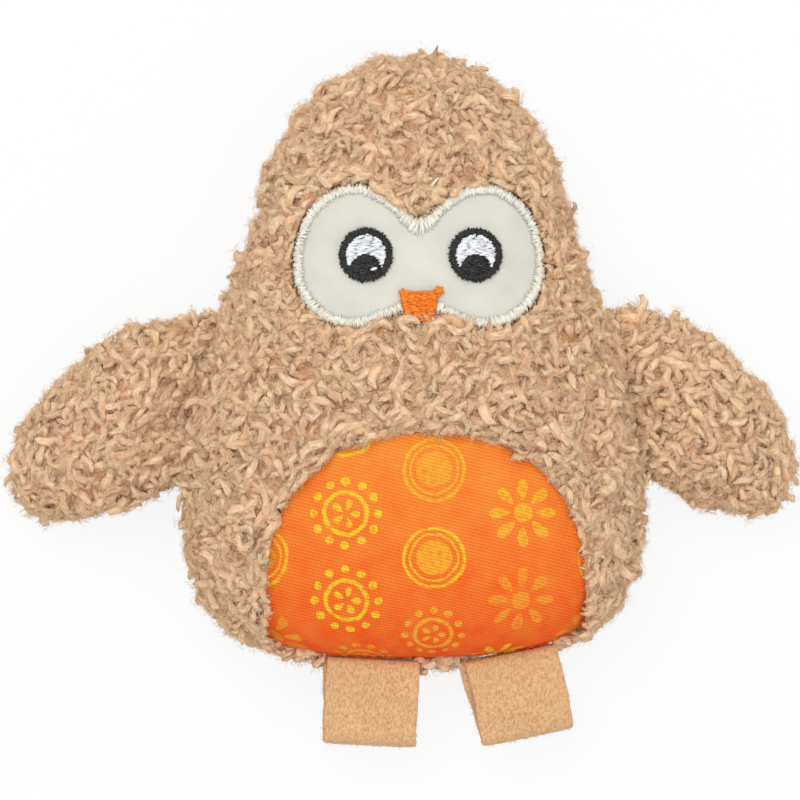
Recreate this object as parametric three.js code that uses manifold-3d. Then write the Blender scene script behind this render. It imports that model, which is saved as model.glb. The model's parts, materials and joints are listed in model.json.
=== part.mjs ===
// Owl cat toy: a stuffed plush owl that lies on its back, face up.
// Millimetres. +Z points out of the face, +Y points to the crown of the head.
// Left and right are as seen when looking at the face.
import * as THREE from 'three';
import { mergeVertices } from 'three/addons/utils/BufferGeometryUtils.js';
import Module from 'manifold-3d';

const wasm = await Module();
wasm.setup();

// Clearances
const SEWN_GAP = 0.3;
const STITCH_GAP = 0.2;

// Body outline: levels are measured up from the bottom seam
const BODY_HEIGHT = 79.4;
const BELLY_WIDTH = 58.8;
const BELLY_LEVEL = 22;
const HEAD_WIDTH = 40;
const HEAD_LEVEL = 58;
const SEAT_ROUNDING = 0.78;
const HIP_ROUNDING = 0.74;
const WAIST_REACH = 17;
const NECK_REACH = 5;
const NECK_FLARE = 0.6;
const CROWN_REACH = 9.6;
const CROWN_ROUNDING = 0.6;

// Body thickness, each side measured from the seam plane
const BELLY_CROWN = 17;
const HEAD_CROWN = 15.2;
const BACK_CROWN = 12.5;
const REST_FLAT_DEPTH = 0.5;
const CROWN_CENTRE_LEVEL = 35;
const BODY_FULLNESS = 2.4;

// Cloths
const PLUSH_THICKNESS = 3.2;
const WING_PLUSH_THICKNESS = 2.4;
const PATCH_THICKNESS = 0.6;
const MASK_THICKNESS = 0.8;
const STITCH_THICKNESS = 0.6;
const STABILISER_THICKNESS = 0.3;
const SACHET_CLOTH = 0.4;

// Belly patch
const PATCH_WIDTH = 41.6;
const PATCH_TOP_LEVEL = 30.9;
const PATCH_WIDE_LEVEL = 10;
const PATCH_SHIFT = 1.8;
const PATCH_ROUNDING = 2.25;
const PATCH_SINK = 1.6;
const SEAM_ALLOWANCE = 2.5;

// Face mask
const MASK_SHIFT = 0.8;
const MASK_LEVEL = 53.5;
const MASK_WIDTH = 31.8;
const MASK_SIDE_DROP = 1.2;
const LOBE_REACH = 8.4;
const LOBE_TOP = 8.7;
const LOBE_BOTTOM = 8.9;
const LOBE_ROUNDING = 0.56;
const NOTCH_LEVEL = 4.3;
const NOTCH_SOFTNESS = 1.9;
const NOTCH_SHOULDER = 4.4;
const DIP_LEVEL = 6.6;
const DIP_SOFTNESS = 3.8;
const DIP_SHOULDER = 3;
const MASK_BACKING_LEFT = 0.9;
const BORDER_WIDTH = 1.3;
const STABILISER_WIDTH = 37;
const STABILISER_HEIGHT = 23;
const STABILISER_CORNER = 6;

// Embroidered eyes and beak
const EYE_SPACING = 14.1;
const EYE_SHIFT = 1;
const EYE_RADIUS = 3.45;
const EYE_RING_WIDTH = 1.2;
const PUPIL_RADIUS = 1.8;
const PUPIL_DROP = 1.9;
const BEAK_LEVEL = 46.9;
const BEAK_TOP_WIDTH = 4.5;
const BEAK_TIP_WIDTH = 2.8;
const BEAK_HEIGHT = 3.8;
const BEAK_CORNER = 0.5;

// Catnip sachet, lying between the filling and the back panel
const SACHET_WIDTH = 26;
const SACHET_HEIGHT = 22;
const SACHET_CORNER = 4;
const SACHET_CROWN = 3;
const SACHET_FULLNESS = 2.6;

// Wings
const WING_ROOT_LENGTH = 19.4;
const WING_OVER_ROUNDING = 9.5;
const WING_UNDER_ROUNDING = 6.4;
const WING_OVER_SHOULDER = new THREE.Vector2(11, 0.8);
const WING_UNDER_SHOULDER = new THREE.Vector2(3, 3.3);
const WING_CROWN = 5.7;
const WING_FULLNESS = 2.2;
const WING_PINCH = 0.34;
const WING_PINCH_REACH = 9;
const WING_DROOP = THREE.MathUtils.degToRad(15);
const LEFT_WING_LEVEL = 35.4;
const LEFT_WING_LENGTH = 27;
const LEFT_WING_SWEEP = THREE.MathUtils.degToRad(41);
const RIGHT_WING_LEVEL = 36.4;
const RIGHT_WING_LENGTH = 24.8;
const RIGHT_WING_SWEEP = THREE.MathUtils.degToRad(47);
const WINGS = [
  { name: 'left', side: -1, rootLevel: LEFT_WING_LEVEL, length: LEFT_WING_LENGTH, sweep: LEFT_WING_SWEEP },
  { name: 'right', side: 1, rootLevel: RIGHT_WING_LEVEL, length: RIGHT_WING_LENGTH, sweep: RIGHT_WING_SWEEP },
];

// Foot loops: a ribbon folded over, both ends caught in the bottom seam
const FOOT_WIDTH = 12.1;
const FOOT_LENGTH = 11.1;
const RIBBON_THICKNESS = 1;
const RIBBON_END = 0.35;
const FOOT_FOLD_GAP = 1.4;
const FOOT_SEAM_INSET = 0.8;
const FOOT_DROOP = THREE.MathUtils.degToRad(12);
const FOOT_SWING_BACK = THREE.MathUtils.degToRad(60);
const LEFT_FOOT_SHIFT = -5.1;
const RIGHT_FOOT_SHIFT = 12.9;
const FEET = [
  { name: 'left', x: LEFT_FOOT_SHIFT },
  { name: 'right', x: RIGHT_FOOT_SHIFT },
];

// Facets
const BODY_RINGS = 8;
const BODY_CURVE_STEPS = 6;
const WING_RINGS = 5;
const WING_CURVE_STEPS = 7;
const SACHET_RINGS = 3;
const SMALL_CURVE_STEPS = 5;
const CORNER_STEPS = 3;
const ARCH_STEPS = 20;
const EYE_SEGMENTS = 24;

// How far cutting solids reach past what they cut
const PRISM_REACH = 60;
const CUT_OVERLAP = 1;

// Solids from closed three.js geometry
function solidFrom(geometry) {
  const bare = geometry.clone();
  bare.deleteAttribute('normal');
  bare.deleteAttribute('uv');
  const welded = mergeVertices(bare, 1e-5);
  const vertProperties = new Float32Array(welded.attributes.position.array);
  const triVerts = new Uint32Array(welded.index.array);
  return new wasm.Manifold(new wasm.Mesh({ numProp: 3, vertProperties, triVerts }));
}

function geometryFrom(solid) {
  const mesh = solid.getMesh();
  const geometry = new THREE.BufferGeometry();
  geometry.setAttribute('position', new THREE.BufferAttribute(mesh.vertProperties, 3));
  geometry.setIndex(new THREE.BufferAttribute(mesh.triVerts, 1));
  geometry.computeVertexNormals();
  return geometry;
}

function prism(points) {
  const geometry = new THREE.ExtrudeGeometry(new THREE.Shape(points), {
    depth: 2 * PRISM_REACH,
    bevelEnabled: false,
  });
  return solidFrom(geometry.translate(0, 0, -PRISM_REACH));
}

function slab(low, high) {
  const box = new THREE.BoxGeometry(2 * BODY_HEIGHT, 2 * BODY_HEIGHT, high - low);
  return solidFrom(box.translate(0, BODY_HEIGHT / 2, (low + high) / 2));
}

// Moves every edge of a counter-clockwise loop by the distance; a positive distance goes inwards
function insetLoop(points, distance) {
  const inward = points.map((point, i) => {
    const along = points[(i + 1) % points.length].clone().sub(point).normalize();
    return new THREE.Vector2(-along.y, along.x);
  });
  return points.map((point, i) => {
    const before = inward[(i + points.length - 1) % points.length];
    const after = inward[i];
    const mitre = before.clone().add(after).multiplyScalar(distance / (1 + before.dot(after)));
    return point.clone().add(mitre);
  });
}

// Joins a right-hand half outline, bottom to top, to its mirror image
function mirrorLoop(half) {
  const left = half.slice(1, -1).reverse().map((p) => new THREE.Vector2(-p.x, p.y));
  return [...half, ...left];
}

function shiftLoop(points, x, y) {
  return points.map((p) => new THREE.Vector2(p.x + x, p.y + y));
}

function circleLoop(radius, x, y) {
  const circle = new THREE.EllipseCurve(x, y, radius, radius);
  return circle.getPoints(EYE_SEGMENTS).slice(0, -1);
}

function roundedLoop(width, height, corner, x, y) {
  const right = width / 2 - corner;
  const top = height / 2 - corner;
  const path = new THREE.Path();
  path.absarc(right, top, corner, 0, Math.PI / 2);
  path.absarc(-right, top, corner, Math.PI / 2, Math.PI);
  path.absarc(-right, -top, corner, Math.PI, 1.5 * Math.PI);
  path.absarc(right, -top, corner, 1.5 * Math.PI, 2 * Math.PI);
  return shiftLoop(path.getPoints(CORNER_STEPS), x, y);
}

// One stuffed side of a form: the outline blown up to its crown, standing on the seam plane.
// side is 1 for the front and -1 for the back; a skirt carries the wall past the seam plane.
function stuffedSide(form, side, inset, skirt = 0) {
  const rim = insetLoop(form.outline, inset);
  const base = SEWN_GAP / 2;
  const vertices = [];
  const place = (x, y, rise) => {
    const crown = (side > 0 ? form.front(x, y) : form.back(x, y)) - base - inset;
    vertices.push(x, y, side * (base + crown * rise * form.pinch(x, y)));
  };
  place(form.centre.x, form.centre.y, 1);
  for (let ring = 1; ring <= form.rings; ring += 1) {
    const turn = (ring / form.rings) * (Math.PI / 2);
    const reach = Math.sin(turn) ** (2 / form.fullness);
    const rise = ring === form.rings ? 0 : Math.cos(turn) ** (2 / form.fullness);
    for (const corner of rim) {
      const spot = form.centre.clone().lerp(corner, reach);
      place(spot.x, spot.y, rise);
    }
  }
  let lastRing = form.rings;
  if (skirt > 0) {
    rim.forEach((corner) => vertices.push(corner.x, corner.y, side * (base - skirt)));
    lastRing += 1;
  }
  vertices.push(form.centre.x, form.centre.y, side * (base - skirt));

  const count = rim.length;
  const at = (ring, i) => 1 + (ring - 1) * count + (i % count);
  const floor = vertices.length / 3 - 1;
  const faces = [];
  for (let i = 0; i < count; i += 1) {
    faces.push(0, at(1, i), at(1, i + 1));
    for (let ring = 1; ring < lastRing; ring += 1) {
      faces.push(at(ring, i), at(ring + 1, i), at(ring + 1, i + 1));
      faces.push(at(ring, i), at(ring + 1, i + 1), at(ring, i + 1));
    }
    faces.push(floor, at(lastRing, i + 1), at(lastRing, i));
  }
  if (side < 0) faces.reverse();
  const geometry = new THREE.BufferGeometry();
  geometry.setAttribute('position', new THREE.Float32BufferAttribute(vertices, 3));
  geometry.setIndex(faces);
  return solidFrom(geometry);
}

// A layer that follows one side of a form between two depths below its surface
function layer(form, side, outer, inner) {
  return stuffedSide(form, side, outer).subtract(stuffedSide(form, side, inner, CUT_OVERLAP));
}

function stuffing(form, inset) {
  return stuffedSide(form, 1, inset, SEWN_GAP).add(stuffedSide(form, -1, inset, SEWN_GAP));
}

const noPinch = () => 1;

// Body form
function bodyHalf() {
  const hip = BELLY_WIDTH / 2;
  const cheek = HEAD_WIDTH / 2;
  const crownFlare = (NECK_FLARE * CROWN_REACH) / NECK_REACH;
  const path = new THREE.Path();
  path.moveTo(0, 0);
  path.bezierCurveTo(hip * SEAT_ROUNDING, 0, hip, BELLY_LEVEL * (1 - HIP_ROUNDING), hip, BELLY_LEVEL);
  path.bezierCurveTo(
    hip, BELLY_LEVEL + WAIST_REACH,
    cheek + NECK_FLARE, HEAD_LEVEL - NECK_REACH,
    cheek, HEAD_LEVEL,
  );
  path.bezierCurveTo(
    cheek - crownFlare, HEAD_LEVEL + CROWN_REACH,
    cheek * CROWN_ROUNDING, BODY_HEIGHT,
    0, BODY_HEIGHT,
  );
  return path.getPoints(BODY_CURVE_STEPS);
}

const bodySide = bodyHalf();
const body = {
  outline: mirrorLoop(bodySide),
  centre: new THREE.Vector2(0, CROWN_CENTRE_LEVEL),
  front: (x, y) => {
    const toHead = THREE.MathUtils.smoothstep(y, BELLY_LEVEL, HEAD_LEVEL);
    return THREE.MathUtils.lerp(BELLY_CROWN, HEAD_CROWN, toHead);
  },
  back: () => BACK_CROWN,
  pinch: noPinch,
  rings: BODY_RINGS,
  fullness: BODY_FULLNESS,
};
const seamHeight = BACK_CROWN - REST_FLAT_DEPTH;

// Belly patch: an arch whose sides run off the bottom of the body
function archLoop() {
  const reach = PATCH_WIDTH / 2;
  const rise = PATCH_TOP_LEVEL - PATCH_WIDE_LEVEL;
  const arch = [];
  for (let i = 0; i <= ARCH_STEPS; i += 1) {
    const turn = (i / ARCH_STEPS) * Math.PI;
    const across = Math.sign(Math.cos(turn)) * Math.abs(Math.cos(turn)) ** (2 / PATCH_ROUNDING);
    const up = Math.sin(turn) ** (2 / PATCH_ROUNDING);
    arch.push(new THREE.Vector2(reach * across, PATCH_WIDE_LEVEL + rise * up));
  }
  const below = -BODY_HEIGHT / 2;
  arch.push(new THREE.Vector2(-reach, below), new THREE.Vector2(reach, below));
  return shiftLoop(arch, PATCH_SHIFT, 0);
}

// Mask: two rounded lobes that meet in a notch above and a shallow dip below
function maskLoop() {
  const side = MASK_WIDTH / 2;
  const sideLevel = -MASK_SIDE_DROP;
  const shoulder = LOBE_REACH + (side - LOBE_REACH) * LOBE_ROUNDING;
  const lowerCheek = sideLevel - (LOBE_BOTTOM + sideLevel) * LOBE_ROUNDING;
  const upperCheek = sideLevel + (LOBE_TOP - sideLevel) * LOBE_ROUNDING;
  const path = new THREE.Path();
  path.moveTo(0, -DIP_LEVEL);
  const dipSide = LOBE_REACH - DIP_SHOULDER;
  path.bezierCurveTo(DIP_SOFTNESS, -DIP_LEVEL, dipSide, -LOBE_BOTTOM, LOBE_REACH, -LOBE_BOTTOM);
  path.bezierCurveTo(shoulder, -LOBE_BOTTOM, side, lowerCheek, side, sideLevel);
  path.bezierCurveTo(side, upperCheek, shoulder, LOBE_TOP, LOBE_REACH, LOBE_TOP);
  path.bezierCurveTo(LOBE_REACH - NOTCH_SHOULDER, LOBE_TOP, NOTCH_SOFTNESS, NOTCH_LEVEL, 0, NOTCH_LEVEL);
  return shiftLoop(mirrorLoop(path.getPoints(SMALL_CURVE_STEPS)), MASK_SHIFT, MASK_LEVEL);
}

function beakLoop() {
  const top = BEAK_TOP_WIDTH / 2 - BEAK_CORNER;
  const tip = BEAK_TIP_WIDTH / 2 - BEAK_CORNER;
  const up = BEAK_HEIGHT / 2 - BEAK_CORNER;
  const lean = Math.atan2(top - tip, 2 * up);
  const path = new THREE.Path();
  path.absarc(top, up, BEAK_CORNER, -lean, Math.PI / 2);
  path.absarc(-top, up, BEAK_CORNER, Math.PI / 2, Math.PI + lean);
  path.absarc(-tip, -up, BEAK_CORNER, Math.PI + lean, 1.5 * Math.PI);
  path.absarc(tip, -up, BEAK_CORNER, 1.5 * Math.PI, 2 * Math.PI - lean);
  return shiftLoop(path.getPoints(SMALL_CURVE_STEPS), MASK_SHIFT, BEAK_LEVEL);
}

const arch = archLoop();
const mask = maskLoop();
const beak = beakLoop();
const stabiliserOutline = roundedLoop(
  STABILISER_WIDTH, STABILISER_HEIGHT, STABILISER_CORNER, MASK_SHIFT, MASK_LEVEL,
);
const maskDepth = PLUSH_THICKNESS - MASK_BACKING_LEFT - SEWN_GAP;
const maskTop = maskDepth - MASK_THICKNESS;
const stitchDepth = maskTop - STITCH_GAP;
const stitchTop = stitchDepth - STITCH_THICKNESS;
const patchDepth = PATCH_SINK + PATCH_THICKNESS;
const insideTop = PLUSH_THICKNESS + SEWN_GAP;
const allowanceDepth = insideTop + PATCH_THICKNESS;
const stabiliserDepth = insideTop + STABILISER_THICKNESS;

// The foot loops' ends lie in slots in the bottom seam, which open out so that the loops swing back
function seamPlace(x) {
  const turn = bodySide.findIndex((p) => p.x >= Math.abs(x));
  const after = bodySide[turn];
  const before = bodySide[turn - 1];
  const share = (Math.abs(x) - before.x) / (after.x - before.x);
  const spot = before.clone().lerp(after, share);
  const slope = Math.atan2(after.y - before.y, after.x - before.x);
  return { x, y: spot.y + FOOT_SEAM_INSET, angle: Math.sign(x) * slope };
}

const ribbonRoot = RIBBON_THICKNESS + SEWN_GAP / 2;
const footRootRadius = Math.hypot(ribbonRoot, RIBBON_END);
const foldInner = FOOT_FOLD_GAP / 2;
const foldOuter = foldInner + RIBBON_THICKNESS;

// A ribbon section drawn as (down from the seam, up out of the face), as wide as given
function ribbonSolid(section, width) {
  const ribbon = new THREE.ExtrudeGeometry(section, {
    depth: width,
    bevelEnabled: false,
    curveSegments: SMALL_CURVE_STEPS,
  });
  const turned = new THREE.Matrix4().makeBasis(
    new THREE.Vector3(0, -1, 0),
    new THREE.Vector3(0, 0, 1),
    new THREE.Vector3(-1, 0, 0),
  );
  return ribbon.translate(0, 0, -width / 2).applyMatrix4(turned);
}

function footSlot(foot) {
  const place = seamPlace(foot.x);
  const root = footRootRadius + SEWN_GAP;
  const mouth = foldOuter + SEWN_GAP;
  const spoke = (turn, reach, across) => new THREE.Vector2(
    reach * Math.cos(turn) - across * Math.sin(turn),
    reach * Math.sin(turn) + across * Math.cos(turn),
  );
  const rest = -FOOT_DROOP;
  const back = rest - FOOT_SWING_BACK;
  const quarter = Math.PI / 2;
  const section = new THREE.Shape();
  section.absarc(0, 0, root, rest + quarter, back + 3 * quarter);
  const below = spoke(back, FOOT_LENGTH / 2, -mouth);
  const above = spoke(rest, FOOT_LENGTH / 2, mouth);
  section.lineTo(below.x, below.y);
  section.lineTo(above.x, above.y);
  const slot = ribbonSolid(section, FOOT_WIDTH + 2 * SEWN_GAP);
  return solidFrom(slot.rotateZ(place.angle).translate(place.x, place.y, 0));
}

function withFootSlots(solid) {
  return FEET.reduce((cut, foot) => cut.subtract(footSlot(foot)), solid);
}

// Body panels
function frontPanel() {
  const opening = prism(arch);
  const recess = prism(insetLoop(mask, -(BORDER_WIDTH / 2 + SEWN_GAP)))
    .add(prism(insetLoop(beak, -SEWN_GAP)));
  const backing = stuffedSide(body, 1, maskDepth + SEWN_GAP, CUT_OVERLAP);
  return layer(body, 1, 0, PLUSH_THICKNESS).subtract(opening).subtract(recess.subtract(backing));
}

function backPanel() {
  const shell = layer(body, -1, 0, PLUSH_THICKNESS).subtract(slab(-PRISM_REACH, -seamHeight));
  return withFootSlots(shell);
}

// The patch is turned under along its arch and lies inside the plush by the seam allowance
function bellyPatch() {
  const edge = prism(insetLoop(arch, SEWN_GAP));
  const core = prism(insetLoop(arch, SEWN_GAP + PATCH_THICKNESS));
  const under = prism(insetLoop(arch, -SEAM_ALLOWANCE));
  const face = layer(body, 1, PATCH_SINK, patchDepth).intersect(edge);
  const wall = layer(body, 1, PATCH_SINK, allowanceDepth).intersect(edge.subtract(core));
  const allowance = layer(body, 1, insideTop, allowanceDepth).intersect(under.subtract(core));
  return withFootSlots(face.add(wall).add(allowance));
}

function stabiliser() {
  return layer(body, 1, insideTop, stabiliserDepth).intersect(prism(stabiliserOutline));
}

function faceMask() {
  return layer(body, 1, maskTop, maskDepth).intersect(prism(mask));
}

function maskBorder() {
  const outer = prism(insetLoop(mask, -BORDER_WIDTH / 2));
  const inner = prism(insetLoop(mask, BORDER_WIDTH / 2));
  const beakRoom = prism(insetLoop(beak, -STITCH_GAP));
  return stitched(outer.subtract(inner).subtract(beakRoom));
}

function stitched(area) {
  return layer(body, 1, stitchTop, stitchDepth).intersect(area);
}

const eyePlace = (side) => [EYE_SHIFT + (side * EYE_SPACING) / 2, MASK_LEVEL];
const eyeFillRadius = EYE_RADIUS - EYE_RING_WIDTH - STITCH_GAP;

function eyeRing(side) {
  const [x, y] = eyePlace(side);
  const inner = prism(circleLoop(EYE_RADIUS - EYE_RING_WIDTH, x, y));
  return stitched(prism(circleLoop(EYE_RADIUS, x, y)).subtract(inner));
}

function eyeWhite(side) {
  const [x, y] = eyePlace(side);
  const pupil = prism(circleLoop(PUPIL_RADIUS + STITCH_GAP, x, y - PUPIL_DROP));
  return stitched(prism(circleLoop(eyeFillRadius, x, y)).subtract(pupil));
}

function eyePupil(side) {
  const [x, y] = eyePlace(side);
  const pupil = prism(circleLoop(PUPIL_RADIUS, x, y - PUPIL_DROP));
  return stitched(prism(circleLoop(eyeFillRadius, x, y)).intersect(pupil));
}

// Sachet form, centred on its own mid plane
const sachet = {
  outline: roundedLoop(SACHET_WIDTH, SACHET_HEIGHT, SACHET_CORNER, 0, CROWN_CENTRE_LEVEL),
  centre: new THREE.Vector2(0, CROWN_CENTRE_LEVEL),
  front: () => SACHET_CROWN,
  back: () => SACHET_CROWN,
  pinch: noPinch,
  rings: SACHET_RINGS,
  fullness: SACHET_FULLNESS,
};
const sachetPlane = PLUSH_THICKNESS + SEWN_GAP + SACHET_CROWN - BACK_CROWN;

function sachetPocket() {
  const room = stuffing(sachet, -SEWN_GAP);
  const way = prism(insetLoop(sachet.outline, -SEWN_GAP)).translate(0, 0, -PRISM_REACH);
  return room.add(way).translate(0, 0, sachetPlane);
}

// The filling swells into the belly patch and gives way under the allowance and the stabiliser
function bodyFilling() {
  const bulge = stuffedSide(body, 1, patchDepth + SEWN_GAP)
    .intersect(prism(insetLoop(arch, SEWN_GAP + PATCH_THICKNESS + SEWN_GAP)));
  const underPatch = prism(insetLoop(arch, -(SEAM_ALLOWANCE + SEWN_GAP)))
    .subtract(stuffedSide(body, 1, allowanceDepth + SEWN_GAP, CUT_OVERLAP));
  const underSheet = prism(insetLoop(stabiliserOutline, -SEWN_GAP))
    .subtract(stuffedSide(body, 1, stabiliserDepth + SEWN_GAP, CUT_OVERLAP));
  const hollows = underPatch.add(underSheet).intersect(slab(SEWN_GAP / 2, PRISM_REACH));
  const filling = stuffing(body, insideTop).subtract(hollows).add(bulge).subtract(sachetPocket());
  return withFootSlots(filling);
}

// Wing form: the root runs along the Y axis, its ends drawn back by the body's curve; the wing runs
// out along +X and sweeps towards the feet
function wingForm(length, sweep, sag) {
  const half = WING_ROOT_LENGTH / 2;
  const out = new THREE.Vector2(Math.cos(sweep), -Math.sin(sweep));
  const across = new THREE.Vector2(-out.y, out.x);
  const tip = out.clone().multiplyScalar(length);
  const over = tip.clone().addScaledVector(across, WING_OVER_ROUNDING);
  const under = tip.clone().addScaledVector(across, -WING_UNDER_ROUNDING);
  const path = new THREE.Path();
  path.moveTo(-sag, -half);
  path.bezierCurveTo(
    WING_UNDER_SHOULDER.x, -half - WING_UNDER_SHOULDER.y,
    under.x, under.y,
    tip.x, tip.y,
  );
  path.bezierCurveTo(
    over.x, over.y,
    WING_OVER_SHOULDER.x, half + WING_OVER_SHOULDER.y,
    -sag, half,
  );
  path.quadraticCurveTo(sag, 0, -sag, -half);
  return {
    outline: path.getPoints(WING_CURVE_STEPS).slice(0, -1),
    centre: out.clone().multiplyScalar(length / 2),
    front: () => WING_CROWN,
    back: () => WING_CROWN,
    pinch: (x) => {
      const free = THREE.MathUtils.smoothstep(x, 0, WING_PINCH_REACH);
      return THREE.MathUtils.lerp(WING_PINCH, 1, free);
    },
    rings: WING_RINGS,
    fullness: WING_FULLNESS,
  };
}

function bodyEdge(level) {
  const above = bodySide.findIndex((p) => p.y >= level);
  const before = bodySide[above - 1];
  const after = bodySide[above];
  return before.clone().lerp(after, (level - before.y) / (after.y - before.y));
}

// The root of a wing lies along the chord of the body's side seam, moved out until it clears the body
function wingRoot(wing) {
  const bottom = bodyEdge(wing.rootLevel - WING_ROOT_LENGTH / 2);
  const top = bodyEdge(wing.rootLevel + WING_ROOT_LENGTH / 2);
  const chord = top.clone().sub(bottom).normalize();
  const outward = new THREE.Vector2(chord.y, -chord.x);
  const between = bodySide.filter((p) => p.y > bottom.y && p.y < top.y);
  const sag = Math.max(0, ...between.map((p) => p.clone().sub(bottom).dot(outward)));
  const spot = bottom.clone().lerp(top, 0.5).addScaledVector(outward, sag + SEWN_GAP);
  return { x: wing.side * spot.x, y: spot.y, sag, lean: Math.atan2(-chord.x, chord.y) };
}

function mirrored(solid) {
  return solid.mirror([1, 0, 0]);
}

// Foot loop: the ribbon's section runs down -Y from its seam and folds back on itself
function footLoop() {
  const fold = FOOT_LENGTH - foldOuter;
  const slit = SEWN_GAP / 2;
  const section = new THREE.Shape();
  section.moveTo(-RIBBON_END, ribbonRoot);
  section.lineTo(-RIBBON_END, slit);
  section.bezierCurveTo(fold / 2, slit, fold / 2, foldInner, fold, foldInner);
  section.absarc(fold, 0, foldInner, Math.PI / 2, -Math.PI / 2, true);
  section.bezierCurveTo(fold / 2, -foldInner, fold / 2, -slit, -RIBBON_END, -slit);
  section.lineTo(-RIBBON_END, -ribbonRoot);
  section.bezierCurveTo(fold / 2, -ribbonRoot, fold / 2, -foldOuter, fold, -foldOuter);
  section.absarc(fold, 0, foldOuter, -Math.PI / 2, Math.PI / 2, false);
  section.bezierCurveTo(fold / 2, foldOuter, fold / 2, ribbonRoot, -RIBBON_END, ribbonRoot);
  return ribbonSolid(section, FOOT_WIDTH);
}

// Scene graph
const PLUSH = { color: 0xd0ab84, roughness: 0.95, metalness: 0 };
const PRINT = { color: 0xf58d3c, roughness: 0.8, metalness: 0 };
const VELOUR = { color: 0xe4e2d6, roughness: 0.85, metalness: 0 };
const WHITE_THREAD = { color: 0xe6e7e4, roughness: 0.5, metalness: 0 };
const BLACK_THREAD = { color: 0x3b3c3b, roughness: 0.5, metalness: 0 };
const ORANGE_THREAD = { color: 0xf58a34, roughness: 0.5, metalness: 0 };
const RIBBON = { color: 0xe2b17f, roughness: 0.9, metalness: 0 };
const WADDING = { color: 0xf4f4f0, roughness: 1, metalness: 0 };
const NONWOVEN = { color: 0xe9e7dd, roughness: 0.9, metalness: 0 };
const CATNIP = { color: 0x7d8a4c, roughness: 1, metalness: 0 };

function addPiece(parent, name, geometry, look) {
  const piece = new THREE.Mesh(geometry, new THREE.MeshStandardMaterial(look));
  piece.name = name;
  parent.add(piece);
  return piece;
}

const owl = new THREE.Group();
const torso = new THREE.Group();
torso.position.z = seamHeight;
owl.add(torso);

addPiece(torso, 'front_panel', geometryFrom(frontPanel()), PLUSH);
addPiece(torso, 'back_panel', geometryFrom(backPanel()), PLUSH);
addPiece(torso, 'belly_patch', geometryFrom(bellyPatch()), PRINT);
addPiece(torso, 'body_filling', geometryFrom(bodyFilling()), WADDING);
addPiece(torso, 'embroidery_stabiliser', geometryFrom(stabiliser()), NONWOVEN);
addPiece(torso, 'face_mask', geometryFrom(faceMask()), VELOUR);
addPiece(torso, 'mask_border', geometryFrom(maskBorder()), WHITE_THREAD);
for (const [name, side] of [['left', -1], ['right', 1]]) {
  addPiece(torso, `${name}_eye_ring`, geometryFrom(eyeRing(side)), BLACK_THREAD);
  addPiece(torso, `${name}_eye_white`, geometryFrom(eyeWhite(side)), WHITE_THREAD);
  addPiece(torso, `${name}_eye_pupil`, geometryFrom(eyePupil(side)), BLACK_THREAD);
}
addPiece(torso, 'beak', geometryFrom(stitched(prism(beak))), ORANGE_THREAD);

const pouch = new THREE.Group();
pouch.position.z = sachetPlane;
torso.add(pouch);
addPiece(pouch, 'sachet_front_sheet', geometryFrom(layer(sachet, 1, 0, SACHET_CLOTH)), NONWOVEN);
addPiece(pouch, 'sachet_back_sheet', geometryFrom(layer(sachet, -1, 0, SACHET_CLOTH)), NONWOVEN);
addPiece(pouch, 'catnip', geometryFrom(stuffing(sachet, SACHET_CLOTH + SEWN_GAP)), CATNIP);

for (const wing of WINGS) {
  const root = wingRoot(wing);
  const form = wingForm(wing.length, wing.sweep, root.sag);
  const turn = (solid) => geometryFrom(wing.side < 0 ? mirrored(solid) : solid);
  const group = new THREE.Group();
  group.name = `${wing.name}_wing`;
  group.position.set(root.x, root.y, 0);
  group.rotation.set(0, wing.side * WING_DROOP, wing.side * root.lean, 'ZYX');
  torso.add(group);
  const shell = (side) => layer(form, side, 0, WING_PLUSH_THICKNESS);
  addPiece(group, `${wing.name}_wing_front_panel`, turn(shell(1)), PLUSH);
  addPiece(group, `${wing.name}_wing_back_panel`, turn(shell(-1)), PLUSH);
  const wadding = stuffing(form, WING_PLUSH_THICKNESS + SEWN_GAP);
  addPiece(group, `${wing.name}_wing_filling`, turn(wadding), WADDING);
}

for (const foot of FEET) {
  const place = seamPlace(foot.x);
  const loop = addPiece(torso, `${foot.name}_foot_loop`, footLoop(), RIBBON);
  loop.position.set(place.x, place.y, 0);
  loop.rotation.set(FOOT_DROOP, 0, place.angle, 'ZYX');
}

// The origin is the middle of the floor under the toy
const room = new THREE.Box3().setFromObject(owl, true);
owl.position.set(-(room.min.x + room.max.x) / 2, -(room.min.y + room.max.y) / 2, 0);

export default owl;
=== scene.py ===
"""The looks of a stuffed owl cat toy that lies on its back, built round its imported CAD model."""

import bisect
import json
import math
import random

import bmesh
import bpy
from mathutils import Matrix, Vector, noise
from mathutils.bvhtree import BVHTree
from mathutils.geometry import interpolate_bezier


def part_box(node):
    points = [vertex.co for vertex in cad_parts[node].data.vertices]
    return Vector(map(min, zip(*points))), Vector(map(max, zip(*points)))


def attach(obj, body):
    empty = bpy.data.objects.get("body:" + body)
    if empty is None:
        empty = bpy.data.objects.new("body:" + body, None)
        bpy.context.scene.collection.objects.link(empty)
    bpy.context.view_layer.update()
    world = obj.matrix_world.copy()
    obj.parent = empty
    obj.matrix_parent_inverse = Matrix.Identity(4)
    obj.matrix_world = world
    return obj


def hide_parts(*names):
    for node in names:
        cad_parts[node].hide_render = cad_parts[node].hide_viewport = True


bl_info = {
    "name": "Owl cat toy",
    "version": (1, 0, 0),
    "blender": (4, 5, 0),
    "location": "3D View > Sidebar > Owl toy",
    "description": "Dresses the owl cat toy in curly plush, printed cotton, embroidery and ribbon",
    "category": "Object",
}

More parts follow.
